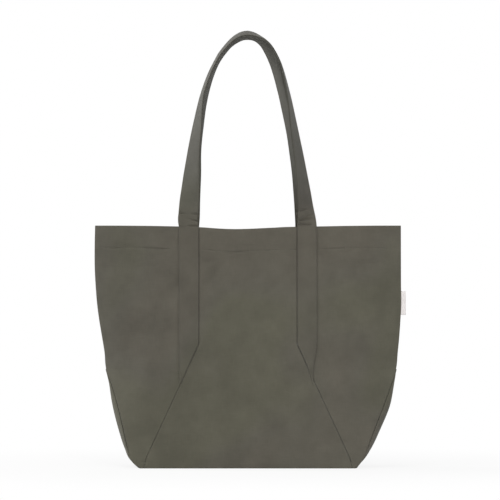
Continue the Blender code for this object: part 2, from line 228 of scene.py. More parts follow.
# How far a sewn strap leans out from its straight line by the time it reaches the mouth
STRAP_LEAN = {(FRONT, LEFT): 0.0006, (FRONT, RIGHT): 0.0, (REAR, LEFT): 0.0, (REAR, RIGHT): -0.0026}
# How far a sewn strap's outer edge draws in towards its lower end
STRAP_TAPER = {(FRONT, LEFT): 0.0004, (FRONT, RIGHT): 0.0055, (REAR, LEFT): 0.0030, (REAR, RIGHT): 0.0020}
# From a strap's middle to an edge: (distance, share of its half thickness), with the groove of the stitches
STRAP_FLANK = (
    (0, 1.05), (0.0040, 1.05), (0.0080, 1.03), (0.0108, 1.0), (0.01175, 0.97), (STRAP_GROOVE, 0.78),
    (0.01265, 0.95), (0.0133, 0.95),
)
FOLDED_EDGE = STRAP_FLANK + ((0.0140, 0.80), (0.0144, 0.5), (0.0146, 0))
# The two turned-in layers meet at the other edge and leave a slit between them
OPEN_EDGE = STRAP_FLANK + ((0.0140, 0.86), (0.01445, 0.62), (0.0144, 0.34), (0.0136, 0.14), (0.0126, 0))

# Studio lamps: (name, place, width in metres, watts)
LAMPS = (
    ("softbox_above", (-0.4, -0.8, 2.45), 1.5, 22),
    ("softbox_front", (0.38, -3.17, 1.2), 0.36, 33.5),
    ("softbox_left", (-2.4, 0.9, 0.9), 1.2, 35),
    ("softbox_right", (2.3, 1.3, 0.8), 1.2, 2),
    ("softbox_rear", (0.4, 3.4, 1.3), 0.9, 16),
)
LAMPS_AIM = Vector((0, 0, 0.32))
SURROUND = 0.26
CAMERA_PLACE = (0.003, -8.0, 0.3256)
# The photo's frame is this wide in metres at this distance, on a sensor of this many millimetres
VIEW_WIDTH, VIEW_DISTANCE, SENSOR = 0.748, 7.966, 36


# ---- colours and plain curves


def linear(code):
    """An sRGB hex colour as linear red, green and blue."""
    parts = [int(code[k : k + 2], 16) / 255 for k in (1, 3, 5)]
    return [c / 12.92 if c <= 0.04045 else ((c + 0.055) / 1.055) ** 2.4 for c in parts]


def smooth(t):
    """0 to 1, easing in and out."""
    t = min(max(t, 0), 1)
    return t * t * (3 - 2 * t)


def mix(low, high, t):
    return low + (high - low) * t


def hand_of(x):
    """The side of the bag that x lies on."""
    return LEFT if x < 0 else RIGHT


def run_lengths(points):
    """Lengths from the first point to each point along the line that joins them."""
    return np.concatenate([[0], np.cumsum(np.linalg.norm(np.diff(points, axis=0), axis=1))])


def through(points, place):
    """Value at a place on the smooth curve through points, each a place and its value."""
    places, values = np.array(points, float).T
    slopes = np.gradient(values, places)
    k = min(max(int(np.searchsorted(places, place)) - 1, 0), len(places) - 2)
    step = places[k + 1] - places[k]
    t = (place - places[k]) / step
    start = (1 + 2 * t) * (1 - t) ** 2 * values[k] + t * (1 - t) ** 2 * step * slopes[k]
    end = t * t * (3 - 2 * t) * values[k + 1] + t * t * (t - 1) * step * slopes[k + 1]
    return float(start + end)


EDGE_TABLES = {
    hand: [through(points, k / EDGE_STEPS) for k in range(EDGE_STEPS + 1)]
    for hand, points in ((LEFT, LEFT_EDGE), (RIGHT, RIGHT_EDGE))
}
MOUTH_TABLE = [
    through(MOUTH_LIFT, mix(-HALF_MOUTH, HALF_MOUTH, k / MOUTH_STEPS)) for k in range(MOUTH_STEPS + 1)
]


# ---- sizes and colours a user may change


class BagSizes(bpy.types.PropertyGroup):
    cloth: FloatProperty(
        name="Canvas", description="Thickness of the canvas", default=0.0009, unit="LENGTH")
    tape: FloatProperty(
        name="Tape", description="Thickness of the binding tape", default=0.0005, unit="LENGTH")
    roll: FloatProperty(
        name="Seam roll", description="Radius on which canvas turns in at a seam",
        default=0.0009, unit="LENGTH")
    allowance: FloatProperty(
        name="Seam allowance", description="Width of canvas behind a seam", default=0.008, unit="LENGTH")
    hang: FloatProperty(
        name="Softness", description="How deep the soft hollows of the walls are, 1 as photographed",
        default=1, subtype="FACTOR")
    step: FloatProperty(
        name="Mesh step", description="Distance between the mesh lines of the walls",
        default=0.003, unit="LENGTH")
    stitch_pitch: FloatProperty(
        name="Stitch pitch", description="From one stitch to the next", default=0.003, unit="LENGTH")
    stitch_length: FloatProperty(
        name="Stitch length", description="Length of the thread that shows", default=0.0023, unit="LENGTH")
    thread: FloatProperty(
        name="Thread", description="Thickness of the sewing thread", default=0.0005, unit="LENGTH")
    stitch_inset: FloatProperty(
        name="Stitch inset", description="From a strap's edge to its line of stitches",
        default=0.0025, unit="LENGTH")


class BagColours(bpy.types.PropertyGroup):
    canvas: FloatVectorProperty(
        name="Canvas", description="Dyed cotton canvas", default=linear("#5D5A50"), subtype="COLOR")
    canvas_green: FloatVectorProperty(
        name="Greener canvas", description="Where the dye turns greener",
        default=linear("#5D5B4E"), subtype="COLOR")
    canvas_brown: FloatVectorProperty(
        name="Browner canvas", description="Where the dye turns browner",
        default=linear("#5E5A50"), subtype="COLOR")
    tape: FloatVectorProperty(
        name="Tape", description="Cotton twill tape", default=linear("#57544A"), subtype="COLOR")
    thread: FloatVectorProperty(
        name="Thread", description="Sewing thread", default=linear("#625F55"), subtype="COLOR")
    label: FloatVectorProperty(
        name="Label", description="Bare satin label", default=linear("#F8F3F1"), subtype="COLOR")
    floor: FloatVectorProperty(
        name="Floor", description="Pale floor", default=linear("#F4F4F4"), subtype="COLOR")


def sizes():
    return bpy.context.scene.bag_sizes


def colours():
    return bpy.context.scene.bag_colours


# ---- the shape of the walls


def looked_up(table, share):
    """Value of an evenly stepped table at this share of its length."""
    steps = len(table) - 1
    at = min(max(share, 0), 1) * steps
    k = min(int(at), steps - 1)
    return mix(table[k], table[k + 1], at - k)


def edge_x(z, hand):
    """Half width of the bag at its side edge."""
    return mix(HALF_BASE, HALF_MOUTH, looked_up(EDGE_TABLES[hand], z / BODY_HEIGHT))


def wall_edge_x(z, hand):
    """Where the walls' cloth starts to turn into the side seam, or round the gusset's edge."""
    return edge_x(z, hand) - mix(*TURN_INSET, smooth(z / GUSSET_HEIGHT))


def wall_edge_depth(z):
    """Half depth there: the gusset's width, closing to the side seam above its point."""
    if z < GUSSET_HEIGHT:
        return mix(BASE_DEPTH / 2, POINT_DEPTH, z / GUSSET_HEIGHT)
    return mix(POINT_DEPTH, SIDE_DEPTH, smooth((z - GUSSET_HEIGHT) / 0.02))


def middle_depth(z):
    return mix(BASE_DEPTH, MOUTH_DEPTH, z / BODY_HEIGHT) / 2


def lofted_depth(x, z):
    """Half depth of the wall at x, before the cloth sags."""
    share = min(abs(x) / wall_edge_x(z, hand_of(x)), 1)
    edge = wall_edge_depth(z)
    return edge + (middle_depth(z) - edge) * (1 - share**WALL_ROUNDNESS)


def seam_x(z):
    """Half width of the centre panel: straight beside the strap, then out to the bottom corner."""
    foot_bend = 0.0030 * (1 - smooth(z / 0.016))
    return mix(SEAM_FOOT, STRAP_INNER, min(max(z, 0) / MITRE_HEIGHT, 1)) - foot_bend


def seam_distance(x, z):
    """How far x lies inside the centre panel's edge, square to it."""
    slant = SEAM_SLANT if z < MITRE_HEIGHT else 1
    return (seam_x(z) - abs(x)) / slant


def mitre_z(x):
    """Height of the slanted seam at x."""
    return MITRE_HEIGHT * (SEAM_FOOT - x) / (SEAM_FOOT - STRAP_INNER)


def mouth_z(x):
    """Height of the mouth's edge, which dips between the side seams and hangs between the straps."""
    even_dip = MOUTH_DIP * (1 - min(abs(x) / HALF_MOUTH, 1) ** 2)
    return BODY_HEIGHT - even_dip + looked_up(MOUTH_TABLE, (x / HALF_MOUTH + 1) / 2)


def facing_line_z(x):
    """Height of the line of stitches that holds the facing."""
    return mouth_z(x) - FACING_DEPTH + FACING_SEWN


def sag(x, z, face):
    """How far the soft cloth stands out from the loft: broad swells, hollows and single creases."""
    away = 1 - abs(x) / wall_edge_x(z, hand_of(x))
    free = smooth(away / 0.10) * smooth((z - 0.002) / 0.035)
    # The straps' sewn ends hold the cloth flat below the mouth
    held = smooth((abs(x) - 0.050) / 0.018) * smooth((0.128 - abs(x)) / 0.018)
    free *= 1 - held * smooth((z - 0.300) / 0.050)
    side = 3.7 * face
    swell = 0
    for fine, place, height in SWELLS:
        swell += height * noise.noise(Vector((x * fine, side + place, z * fine)))
    for crease in FRONT_CREASES if face == FRONT else REAR_CREASES:
        cx, cz, half_length, half_width, angle, depth = crease
        turn = math.radians(angle)
        dx, dz = x - cx, z - cz
        along = (dx * math.cos(turn) + dz * math.sin(turn)) / half_length
        across = (dz * math.cos(turn) - dx * math.sin(turn)) / half_width
        if along * along + across * across < 9:
            swell -= depth * math.exp(-along * along - across * across)
    return swell * free * sizes().hang


def bell(distance, wide):
    """1 on a line, falling away on both sides of it."""
    return math.exp(-((distance / wide) ** 2))


def pucker(x, z):
    """Small ripples where the thread draws the cloth up beside a seam or a stitched line."""
    # A ripple every 13 mm beside the seams and every 15 mm along the facing, at uneven steps
    seam_wave = math.sin(z * 470 + 2 * noise.noise(Vector((0, 0, z * 40))))
    facing_wave = math.sin(x * 420 + 4 * noise.noise(Vector((x * 30, 5, 0))))
    from_facing = z - facing_line_z(x) - 0.0012 * noise.noise(Vector((x * 22, 3, 0)))
    # The thread is drawn tight in some places and lies loose in others
    drawn = 0.4 + noise.noise(Vector((x * 34, 8, 0))) + 0.6 * noise.noise(Vector((x * 120, 14, 0)))
    ripple = math.exp(-abs(seam_distance(x, z)) / 0.005) * seam_wave
    ripple += 2.2 * drawn * math.exp(-abs(from_facing) / 0.004) * facing_wave
    groove = 0.0013 * max(drawn, 0.08) * bell(from_facing, 0.0011)
    edge = smooth((1 - abs(x) / HALF_MOUTH) / 0.04)
    return (0.00012 * ripple - groove) * edge


def wall_point(x, z, face, out=0.0):
    """A point of the wall's middle surface, or out from it."""
    return Vector((x, face * (lofted_depth(x, z) + sag(x, z, face) + out), z))


def wall_normal(x, z, face):
    """The way the wall faces there."""
    e = 0.001
    low, high = wall_point(x - e, z, face), wall_point(x + e, z, face)
    foot, head = wall_point(x, z - e, face), wall_point(x, z + e, face)
    normal = (high - low).cross(head - foot).normalized()
    return normal if normal.y * face > 0 else -normal


def x_where_deep(z, hand, depth):
    """How far out the wall still stands at least this far from the bag's middle plane."""
    edge, middle = wall_edge_depth(z), middle_depth(z)
    room = min(max((middle - depth) / (middle - edge), 0), 1)
    return wall_edge_x(z, hand) * room ** (1 / WALL_ROUNDNESS)


# ---- making cloth


def fold(point, along, outward, distance, radius, turn):
    """Where cloth gets to that rolls inward off a surface and then runs straight."""
    angle = min(distance / radius, turn)
    straight = max(distance - radius * turn, 0)
    ahead = along * math.cos(angle) - outward * math.sin(angle)
    rolled = point + along * radius * math.sin(angle) - outward * radius * (1 - math.cos(angle))
    return rolled + ahead * straight


def even(count):
    return [k / count for k in range(count + 1)]


def lines(shares, low=(), high=()):
    """The mesh lines of a sheet: shares of its open width, and distances turned in past either end."""
    return [(0, -d) for d in reversed(low)] + [(s, 0) for s in shares] + [(1, d) for d in high]


def laid_grid(columns, rows, place):
    """A grid of mesh lines. place(column, row) gives each point and its flat place, both in metres."""
    sheet = bmesh.new()
    across, up = len(columns) - 1, len(rows) - 1
    bmesh.ops.create_grid(sheet, x_segments=across, y_segments=up, size=1)
    flat = sheet.loops.layers.uv.new("flat")
    flats = {}
    for vertex in sheet.verts:
        i = round((vertex.co.x + 1) / 2 * across)
        j = round((vertex.co.y + 1) / 2 * up)
        vertex.co, flats[vertex] = place(columns[i], rows[j])
    for face in sheet.faces:
        for loop in face.loops:
            loop[flat].uv = flats[loop.vert]
    return sheet


def cloth(name, columns, rows, place, material, thickness=None):
    """A sheet of cloth whose middle surface and flat places place(column, row) gives."""
    piece = finished(laid_grid(columns, rows, place), name, material)
    shell = piece.modifiers.new("thickness", "SOLIDIFY")
    shell.thickness = thickness or sizes().cloth
    shell.offset = 0
    shell.use_quality_normals = True
    return piece


def put_in_scene(name, data):
    """A new object at the origin that shows this data."""
    made = bpy.data.objects.new(name, data)
    bpy.context.scene.collection.objects.link(made)
    return made


def finished(builder, name, material):
    """A smooth object from a bmesh."""
    mesh = bpy.data.meshes.new(name)
    builder.to_mesh(mesh)
    builder.free()
    mesh.shade_smooth()
    mesh.materials.append(material)
    return put_in_scene(name, mesh)


def turned(surface, column, row, sides, ends):
    """A point of a sheet whose edges turn in. surface(u, v) gives its middle surface and the way it faces.

    sides(u, v) and ends(u, v) give the radius and the turn of its side edges and of its foot and head.
    """
    (u, past_u), (v, past_v) = column, row
    e = 0.002
    point, outward = surface(u, v)
    if not (past_u or past_v):
        return point
    u_low, u_high = max(u - e, 0), min(u + e, 1)
    v_low, v_high = max(v - e, 0), min(v + e, 1)
    run_u = (surface(u_high, v)[0] - surface(u_low, v)[0]).normalized()
    run_v = (surface(u, v_high)[0] - surface(u, v_low)[0]).normalized()
    outward = outward - run_u * outward.dot(run_u)
    outward = (outward - run_v * outward.dot(run_v)).normalized()
    if past_u:
        along = run_v.cross(outward).normalized()
        along = along if along.dot(run_u) * past_u > 0 else -along
        point = fold(point, along, outward, abs(past_u), *sides(u, v))
    if past_v:
        along = run_u.cross(outward)
        along = along.normalized() if along.length > 0.1 else run_v.copy()
        along = along if along.dot(run_v) * past_v > 0 else -along
        point = fold(point, along, outward, abs(past_v), *ends(u, v))
    return point


def arc(radius, turn, straight, count=5):
    """Distances past an edge: round a roll of this radius and turn, then straight on."""
    length = radius * turn
    tail = [length + straight * share for share in (0.25, 0.6, 1)] if straight else []
    return [length * k / count for k in range(1, count + 1)] + tail


def always(radius, turn):
    """The same radius and turn all along an edge."""
    return lambda u, v: (radius, turn)


# ---- materials


def add(tree, kind, inputs=(), **settings):
    """Adds a node with its settings, and links or sets its inputs."""
    made = tree.nodes.new(kind)
    for name, value in settings.items():
        setattr(made, name, value)
    for socket, value in dict(inputs).items():
        if isinstance(value, bpy.types.NodeSocket):
            tree.links.new(value, made.inputs[socket])
        else:
            made.inputs[socket].default_value = value
    return made


def new_material(name):
    material = bpy.data.materials.new(name)
    material.use_nodes = True
    tree = material.node_tree
    return material, tree, tree.nodes["Principled BSDF"]


def woven_height(tree, flat, pitch):
    """Height of a plain weave: each thread rounds up over its neighbours and dips under the next."""
    scaled = add(tree, "ShaderNodeVectorMath", {0: flat, 1: (1 / pitch, 1 / pitch, 1)}, operation="MULTIPLY")
    parts = add(tree, "ShaderNodeSeparateXYZ", {0: scaled.outputs[0]})
    rounds = []
    for axis in ("X", "Y"):
        turn = add(tree, "ShaderNodeMath", {0: parts.outputs[axis], 1: math.pi}, operation="MULTIPLY")
        wave = add(tree, "ShaderNodeMath", {0: turn.outputs[0]}, operation="SINE")
        rounds.append(add(tree, "ShaderNodeMath", {0: wave.outputs[0]}, operation="ABSOLUTE"))
    over = add(tree, "ShaderNodeTexChecker", {"Vector": scaled.outputs[0], "Scale": 1.0})
    return add(tree, "ShaderNodeMix", {0: over.outputs["Fac"], 2: rounds[0].outputs[0],
                                       3: rounds[1].outputs[0]}).outputs[0]


def canvas_material(name, lift):
    """Dyed cotton canvas, plain woven: dull, a little fuzzy, with slubs along both threads."""
    material, tree, shader = new_material(name)
    tint = colours()
    flat = add(tree, "ShaderNodeUVMap", uv_map="flat").outputs[0]
    place = add(tree, "ShaderNodeTexCoord").outputs["Object"]
    # Dye takes a little unevenly over a hand's width
    patches = add(tree, "ShaderNodeTexNoise",
                  {"Vector": place, "Scale": 6.5, "Detail": 1.0, "Roughness": 0.5})
    parts = add(tree, "ShaderNodeSeparateXYZ", {0: place})
    higher = add(tree, "ShaderNodeMapRange", {0: parts.outputs[2], 1: 0.05, 2: 0.36, 3: -0.09, 4: 0.06})
    share = add(tree, "ShaderNodeMath", {0: patches.outputs[0], 1: higher.outputs[0]}, operation="ADD")
    ramp = add(tree, "ShaderNodeValToRGB", {0: share.outputs[0]})
    stops = ramp.color_ramp.elements
    stops.new(0.5)
    for k, (at, dye) in enumerate(((0.39, tint.canvas_green), (0.5, tint.canvas), (0.61, tint.canvas_brown))):
        stops[k].position = at
        stops[k].color = (*[lift * c for c in dye], 1)
    # Slubs: thick places in the yarn, about 1 mm wide and 15 mm long, along warp and weft
    streaks = []
    for stretch in ((900, 60, 1), (60, 900, 1)):
        drawn = add(tree, "ShaderNodeVectorMath", {0: flat, 1: stretch}, operation="MULTIPLY")
        streaks.append(add(tree, "ShaderNodeTexNoise",
                           {"Vector": drawn.outputs[0], "Scale": 1.0, "Detail": 2.0}))
    slub = add(tree, "ShaderNodeMath", {0: streaks[0].outputs[0], 1: streaks[1].outputs[0]}, operation="ADD")
    # The real threads lie about 0.5 mm apart, too fine to show, so they are drawn 1.1 mm apart
    weave = woven_height(tree, flat, 0.0011)
    dark = add(tree, "ShaderNodeMapRange", {0: slub.outputs[0], 1: 0.7, 2: 1.3, 3: 0.95, 4: 1.05})
    # Handling has rubbed the dye a little lighter and darker every few centimetres
    worn = add(tree, "ShaderNodeTexNoise", {"Vector": place, "Scale": 26.0, "Detail": 3.0, "Roughness": 0.6})
    rubbed = add(tree, "ShaderNodeMapRange", {0: worn.outputs[0], 1: 0.3, 2: 0.7, 3: 0.89, 4: 1.11})
    # Painted shade: the weave's low places between the threads are painted darker
    between = add(tree, "ShaderNodeMapRange", {0: weave, 1: 0.0, 2: 1.0, 3: 0.93, 4: 1.03})
    shade = add(tree, "ShaderNodeMath", {0: dark.outputs[0], 1: between.outputs[0]}, operation="MULTIPLY")
    shade = add(tree, "ShaderNodeMath", {0: shade.outputs[0], 1: rubbed.outputs[0]}, operation="MULTIPLY")
    # Painted light: the colour is painted a little paler towards the right panels, as if they were lit more
    right_painted_light = add(tree, "ShaderNodeMapRange", {0: parts.outputs[0], 1: -0.16, 2: 0.16, 3: 0.96, 4: 1.07})
    shade = add(tree, "ShaderNodeMath", {0: shade.outputs[0], 1: right_painted_light.outputs[0]}, operation="MULTIPLY")
    dyed = add(tree, "ShaderNodeVectorMath", {0: ramp.outputs[0], 3: shade.outputs[0]}, operation="SCALE")
    # Painted light and shade on the straps' loops: painted light low on the left, painted shade low on the
    # right, and a greyer painted shade towards the crown
    across = add(tree, "ShaderNodeMapRange", {0: parts.outputs[0], 1: -0.04, 2: 0.04, 3: 0.0, 4: 1.0})
    free = add(tree, "ShaderNodeMapRange", {0: parts.outputs[2], 1: 0.375, 2: 0.395, 3: 0.0, 4: 1.0})
    crown = add(tree, "ShaderNodeMapRange", {0: parts.outputs[2], 1: 0.415, 2: 0.45, 3: 0.0, 4: 1.0})
    low = add(tree, "ShaderNodeMix", {0: across.outputs[0], 4: (1.02, 1.045, 1.08), 5: (0.85, 0.86, 0.9)},
              data_type="VECTOR")
    loop = add(tree, "ShaderNodeMix", {0: crown.outputs[0], 4: low.outputs[1], 5: (0.9, 0.945, 0.99)},
               data_type="VECTOR")
    strap_painted_light = add(tree, "ShaderNodeMix", {0: free.outputs[0], 4: (1, 1, 1), 5: loop.outputs[1]},
               data_type="VECTOR")
    dyed = add(tree, "ShaderNodeVectorMath", {0: dyed.outputs[0], 1: strap_painted_light.outputs[1]}, operation="MULTIPLY")
    tree.links.new(dyed.outputs[0], shader.inputs["Base Color"])
    shader.inputs["Roughness"].default_value = 0.88
    shader.inputs["Specular IOR Level"].default_value = 0.25
    shader.inputs["Sheen Weight"].default_value = 0.12
    shader.inputs["Sheen Roughness"].default_value = 0.6
    raised = add(tree, "ShaderNodeMath", {0: slub.outputs[0], 1: 0.6, 2: weave}, operation="MULTIPLY_ADD")
    bump = add(tree, "ShaderNodeBump", {"Strength": 0.5, "Distance": 0.00018, "Height": raised.outputs[0]})
    tree.links.new(bump.outputs[0], shader.inputs["Normal"])
    return material


def tape_material(name):
    """Cotton twill tape: fine slanted ribs, a little darker than the canvas."""
    material, tree, shader = new_material(name)
    flat = add(tree, "ShaderNodeUVMap", uv_map="flat").outputs[0]
    # Twill ribs of 0.7 mm at 45 degrees
    slant = add(tree, "ShaderNodeVectorMath", {0: flat, 1: (6300, 6300, 0)}, operation="DOT_PRODUCT")
    wave = add(tree, "ShaderNodeMath", {0: slant.outputs["Value"]}, operation="SINE")
    height = add(tree, "ShaderNodeMapRange", {0: wave.outputs[0], 1: -1.0, 2: 1.0, 3: 0.0, 4: 1.0})
    place = add(tree, "ShaderNodeTexCoord").outputs["Object"]
    worn = add(tree, "ShaderNodeTexNoise", {"Vector": place, "Scale": 60.0, "Detail": 3.0})
    tone = add(tree, "ShaderNodeMapRange", {0: worn.outputs[0], 1: 0.3, 2: 0.7, 3: 0.93, 4: 1.07})
    # Painted shade: the low places between the twill's ribs are painted darker
    rib = add(tree, "ShaderNodeMapRange", {0: height.outputs[0], 1: 0.0, 2: 1.0, 3: 0.88, 4: 1.04})
    shade = add(tree, "ShaderNodeMath", {0: tone.outputs[0], 1: rib.outputs[0]}, operation="MULTIPLY")
    dyed = add(tree, "ShaderNodeVectorMath", {0: tuple(colours().tape), 3: shade.outputs[0]},
               operation="SCALE")
    tree.links.new(dyed.outputs[0], shader.inputs["Base Color"])
    shader.inputs["Roughness"].default_value = 0.8
    shader.inputs["Specular IOR Level"].default_value = 0.3
    bump = add(tree, "ShaderNodeBump", {"Strength": 0.5, "Distance": 0.0002, "Height": height.outputs[0]})
    tree.links.new(bump.outputs[0], shader.inputs["Normal"])
    return material


def thread_material(name):
    """Twisted polyester-cotton thread: a touch smoother and lighter than the canvas it is sewn in."""
    material, tree, shader = new_material(name)
    place = add(tree, "ShaderNodeTexCoord").outputs["Object"]
    twist = add(tree, "ShaderNodeTexNoise", {"Vector": place, "Scale": 1500.0, "Detail": 1.0})
    tone = add(tree, "ShaderNodeMapRange", {0: twist.outputs[0], 1: 0.3, 2: 0.7, 3: 0.9, 4: 1.08})
    dyed = add(tree, "ShaderNodeVectorMath", {0: tuple(colours().thread), 3: tone.outputs[0]},
               operation="SCALE")
    tree.links.new(dyed.outputs[0], shader.inputs["Base Color"])
    shader.inputs["Roughness"].default_value = 0.6
    shader.inputs["Specular IOR Level"].default_value = 0.35
    bump = add(tree, "ShaderNodeBump", {"Strength": 0.4, "Distance": 0.0001, "Height": twist.outputs[0]})
    tree.links.new(bump.outputs[0], shader.inputs["Normal"])
    return material


def label_material(name):
    """White polyester satin: close fine threads with a soft sheen, bare of any print."""
    material, tree, shader = new_material(name)
    flat = add(tree, "ShaderNodeUVMap", uv_map="flat").outputs[0]
    # Satin floats 0.25 mm apart are drawn 0.5 mm apart
    drawn = add(tree, "ShaderNodeVectorMath", {0: flat, 1: (2000, 260, 1)}, operation="MULTIPLY")
    floats = add(tree, "ShaderNodeTexNoise", {"Vector": drawn.outputs[0], "Scale": 1.0, "Detail": 1.0})
    tone = add(tree, "ShaderNodeMapRange", {0: floats.outputs[0], 1: 0.3, 2: 0.7, 3: 0.94, 4: 1.03})
    dyed = add(tree, "ShaderNodeVectorMath", {0: tuple(colours().label), 3: tone.outputs[0]},
               operation="SCALE")
    tree.links.new(dyed.outputs[0], shader.inputs["Base Color"])
    shader.inputs["Roughness"].default_value = 0.45
    bump = add(tree, "ShaderNodeBump", {"Strength": 0.3, "Distance": 0.0001, "Height": floats.outputs[0]})
    tree.links.new(bump.outputs[0], shader.inputs["Normal"])
    return material


STUFFS = {
    "canvas": ("dyed_cotton_canvas", canvas_material, 1.0),
    "strap_canvas": ("folded_strap_canvas", canvas_material, 0.97),
    "binding_tape": ("cotton_twill_tape", tape_material),
    "thread": ("sewing_thread", thread_material),
    "label": ("white_satin", label_material),
}


def stuff(kind):
    """The material of this kind, made when it is first asked for."""
    name, maker, *lift = STUFFS[kind]
    return bpy.data.materials.get(name) or maker(name, *lift)


# ---- stitches


def stitch_line(points, facings, lift):
    """Places and half axes of short threads along a line of points, lifted off it the way it faces."""
    pitch, length, thread = sizes().stitch_pitch, sizes().stitch_length, sizes().thread
    line, ways = np.array(points, float), np.array(facings, float)
    lengths = run_lengths(line)
    at = np.arange(pitch, lengths[-1] - pitch / 2, pitch)

    def along_line(values, places):
        return np.stack([np.interp(places, lengths, column) for column in values.T], axis=1)

    def unit(values):
        return values / np.linalg.norm(values, axis=1)[:, None]

    near, ahead = along_line(line, at - pitch / 4), along_line(line, at + pitch / 4)
    run, out = unit(ahead - near), unit(along_line(ways, at))
    out = unit(out - run * (out * run).sum(axis=1)[:, None])
    side = np.cross(out, run)
    centres = (near + ahead) / 2 + out * lift
    return centres, side * thread / 2, out * thread / 2, run * length / 2


def sewn(name, stitches):
    """All the stitches of a seam as one object: a small rounded thread, copied to each place."""
    one = bmesh.new()
    bmesh.ops.create_uvsphere(one, u_segments=6, v_segments=4, radius=1)
    one.verts.index_update()
    corners = np.array([vertex.co for vertex in one.verts])
    polygons = [[vertex.index for vertex in face.verts] for face in one.faces]
    one.free()
    centres, sides, outs, runs = [np.concatenate(parts) for parts in zip(*stitches)]
    placed = centres[:, None] + sum(
        axis[:, None] * corners[None, :, k : k + 1] for k, axis in enumerate((sides, outs, runs)))
    count = len(corners)
    mesh = bpy.data.meshes.new(name)
    mesh.from_pydata(
        placed.reshape(-1, 3), [],
        [[corner + n * count for corner in polygon] for n in range(len(centres)) for polygon in polygons])
    mesh.shade_smooth()
    mesh.materials.append(stuff("thread"))
    return put_in_scene(name, mesh)


# ---- the pieces


def wall_rows():
    """The walls' mesh lines across, closer together at the facing's stitched line."""
    step = sizes().step / BODY_HEIGHT
    line = 1 - FACING_DEPTH / BODY_HEIGHT
    shares = [0.0]
    while shares[-1] < 1 - step:
        near = abs(shares[-1] - line) < 0.016
        shares.append(shares[-1] + step * (0.25 if near else 1))
    turned_in = arc(sizes().roll, math.pi, sizes().allowance)
    return lines(shares[:-1] + [1.0], turned_in, arc(TOP_ROLL, math.pi, MOUTH_ALLOWANCE))


def seam_arc():
    """Mesh lines past an edge that turns in beside a seam and runs on as its allowance."""
    return arc(SEAM_ROLL, math.pi / 2, SEAM_ALLOWANCE)


def wall_height(v, x):
    """Height of a wall's row at x, from the turn at its foot to the turn at the mouth."""
    half = sizes().cloth / 2
    return mix(sizes().roll + half, mouth_z(x) - TOP_ROLL - half, v)


def wall_ends(u, v):
    """Radius and turn of a wall's foot and of its edge at the mouth."""
    return (sizes().roll, math.pi + 0.08) if v < 0.5 else (TOP_ROLL, math.pi)


def seam_inset(z):
    """Room for the turned edges of the slanted and upright seams, beside their line."""
    slant = SEAM_SLANT if z < MITRE_HEIGHT else 1
    return (SEAM_ROLL + sizes().cloth / 2 + SEAM_CLEARANCE) * slant


def trimmed(past, turn_length, share):
    """An allowance cut down to this share of its width behind the turn."""
    return math.copysign(min(abs(past), turn_length) + max(abs(past) - turn_length, 0) * share, past)


def corner_share(z):
    """Allowances are trimmed away towards the bottom corners."""
    return smooth((z - 0.003) / 0.020)


def foot(row, x):
    """The allowance turned in at a panel's foot is cut away towards the bottom corners."""
    v, past = row
    if past < 0:
        past = trimmed(past, sizes().roll * math.pi, smooth((HALF_BASE - 0.004 - abs(x)) / 0.03))
    return v, past


def fin(v, past):
    """The allowance behind a panel seam shortens under the facing and at the foot."""
    under = smooth((v * BODY_HEIGHT - (BODY_HEIGHT - FACING_DEPTH - 0.012)) / 0.008)
    return trimmed(past, SEAM_ROLL * math.pi / 2, (1 - 0.93 * under) * corner_share(v * BODY_HEIGHT))


def strap_taper(face, hand, z):
    """How far a sewn strap's outer edge has drawn in at this height."""
    return STRAP_TAPER[(face, hand)] * smooth((0.190 - z) / 0.05)


def beside_strap(x, z, face, hand):
    """The strap's edge stitches draw the wall in along its outer edge."""
    near = bell(abs(x) - (STRAP_OUTER - strap_taper(face, hand, z)) - 0.0006, 0.0015)
    above_mitre = smooth((z - mitre_z(STRAP_OUTER)) / 0.008)
    return 0.0008 * near * above_mitre * smooth((BODY_HEIGHT - 0.012 - z) / 0.01)


def ridge(x, z):
    """The pressed edge of the centre panel stands a little proud beside the seam."""
    return 0.00035 * bell(seam_distance(x, z) - 0.0022, 0.0013)


def make_centre_panel(face):
    # Mesh lines lie closer together beside the seams
    near = [0, 0.006, 0.013, 0.022, 0.035, 0.052]
    shares = near + [mix(0.075, 0.925, s) for s in even(54)] + [1 - s for s in reversed(near)]
    columns = lines(shares, seam_arc(), seam_arc())

    def surface(u, v):
        across = 2 * u - 1
        z = wall_height(v, across * STRAP_INNER)
        x = across * (seam_x(z) - seam_inset(z))
        return wall_point(x, z, face, pucker(x, z) + ridge(x, z)), Vector((0, face, 0))

    def place(column, row):
        row = foot(row, (2 * column[0] - 1) * SEAM_FOOT)
        column = (column[0], fin(row[0], column[1]))
        point = turned(surface, column, row, always(SEAM_ROLL, math.pi / 2), wall_ends)
        point.z = max(point.z, sizes().cloth / 2)
        z = wall_height(row[0], 0) + row[1]
        return point, ((2 * column[0] - 1) * seam_x(z) + column[1], z)

    piece = cloth(FACE_NAMES[face] + "_centre_panel_canvas", columns, wall_rows(), place, stuff("canvas"))
    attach(piece, "bag")
    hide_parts(FACE_NAMES[face] + "_centre_panel")


def wall_lean(z, hand):
    """The angle at which the wall comes in at its side edge."""
    inward = (middle_depth(z) - wall_edge_depth(z)) * WALL_ROUNDNESS
    return math.atan2(inward, wall_edge_x(z, hand))


def side_turn(z, hand):
    """Radius and turn of a wall's side edge: back on itself over a gusset, level with the seam above."""
    lean = wall_lean(z, hand)
    above = smooth((z - (GUSSET_HEIGHT - 0.004)) / 0.014)
    radius = (SIDE_DEPTH - sizes().cloth / 2 - CLOTH_CLEARANCE) / (1 + math.cos(lean))
    return mix(sizes().roll, radius, above), mix(math.pi, math.pi - lean, above)


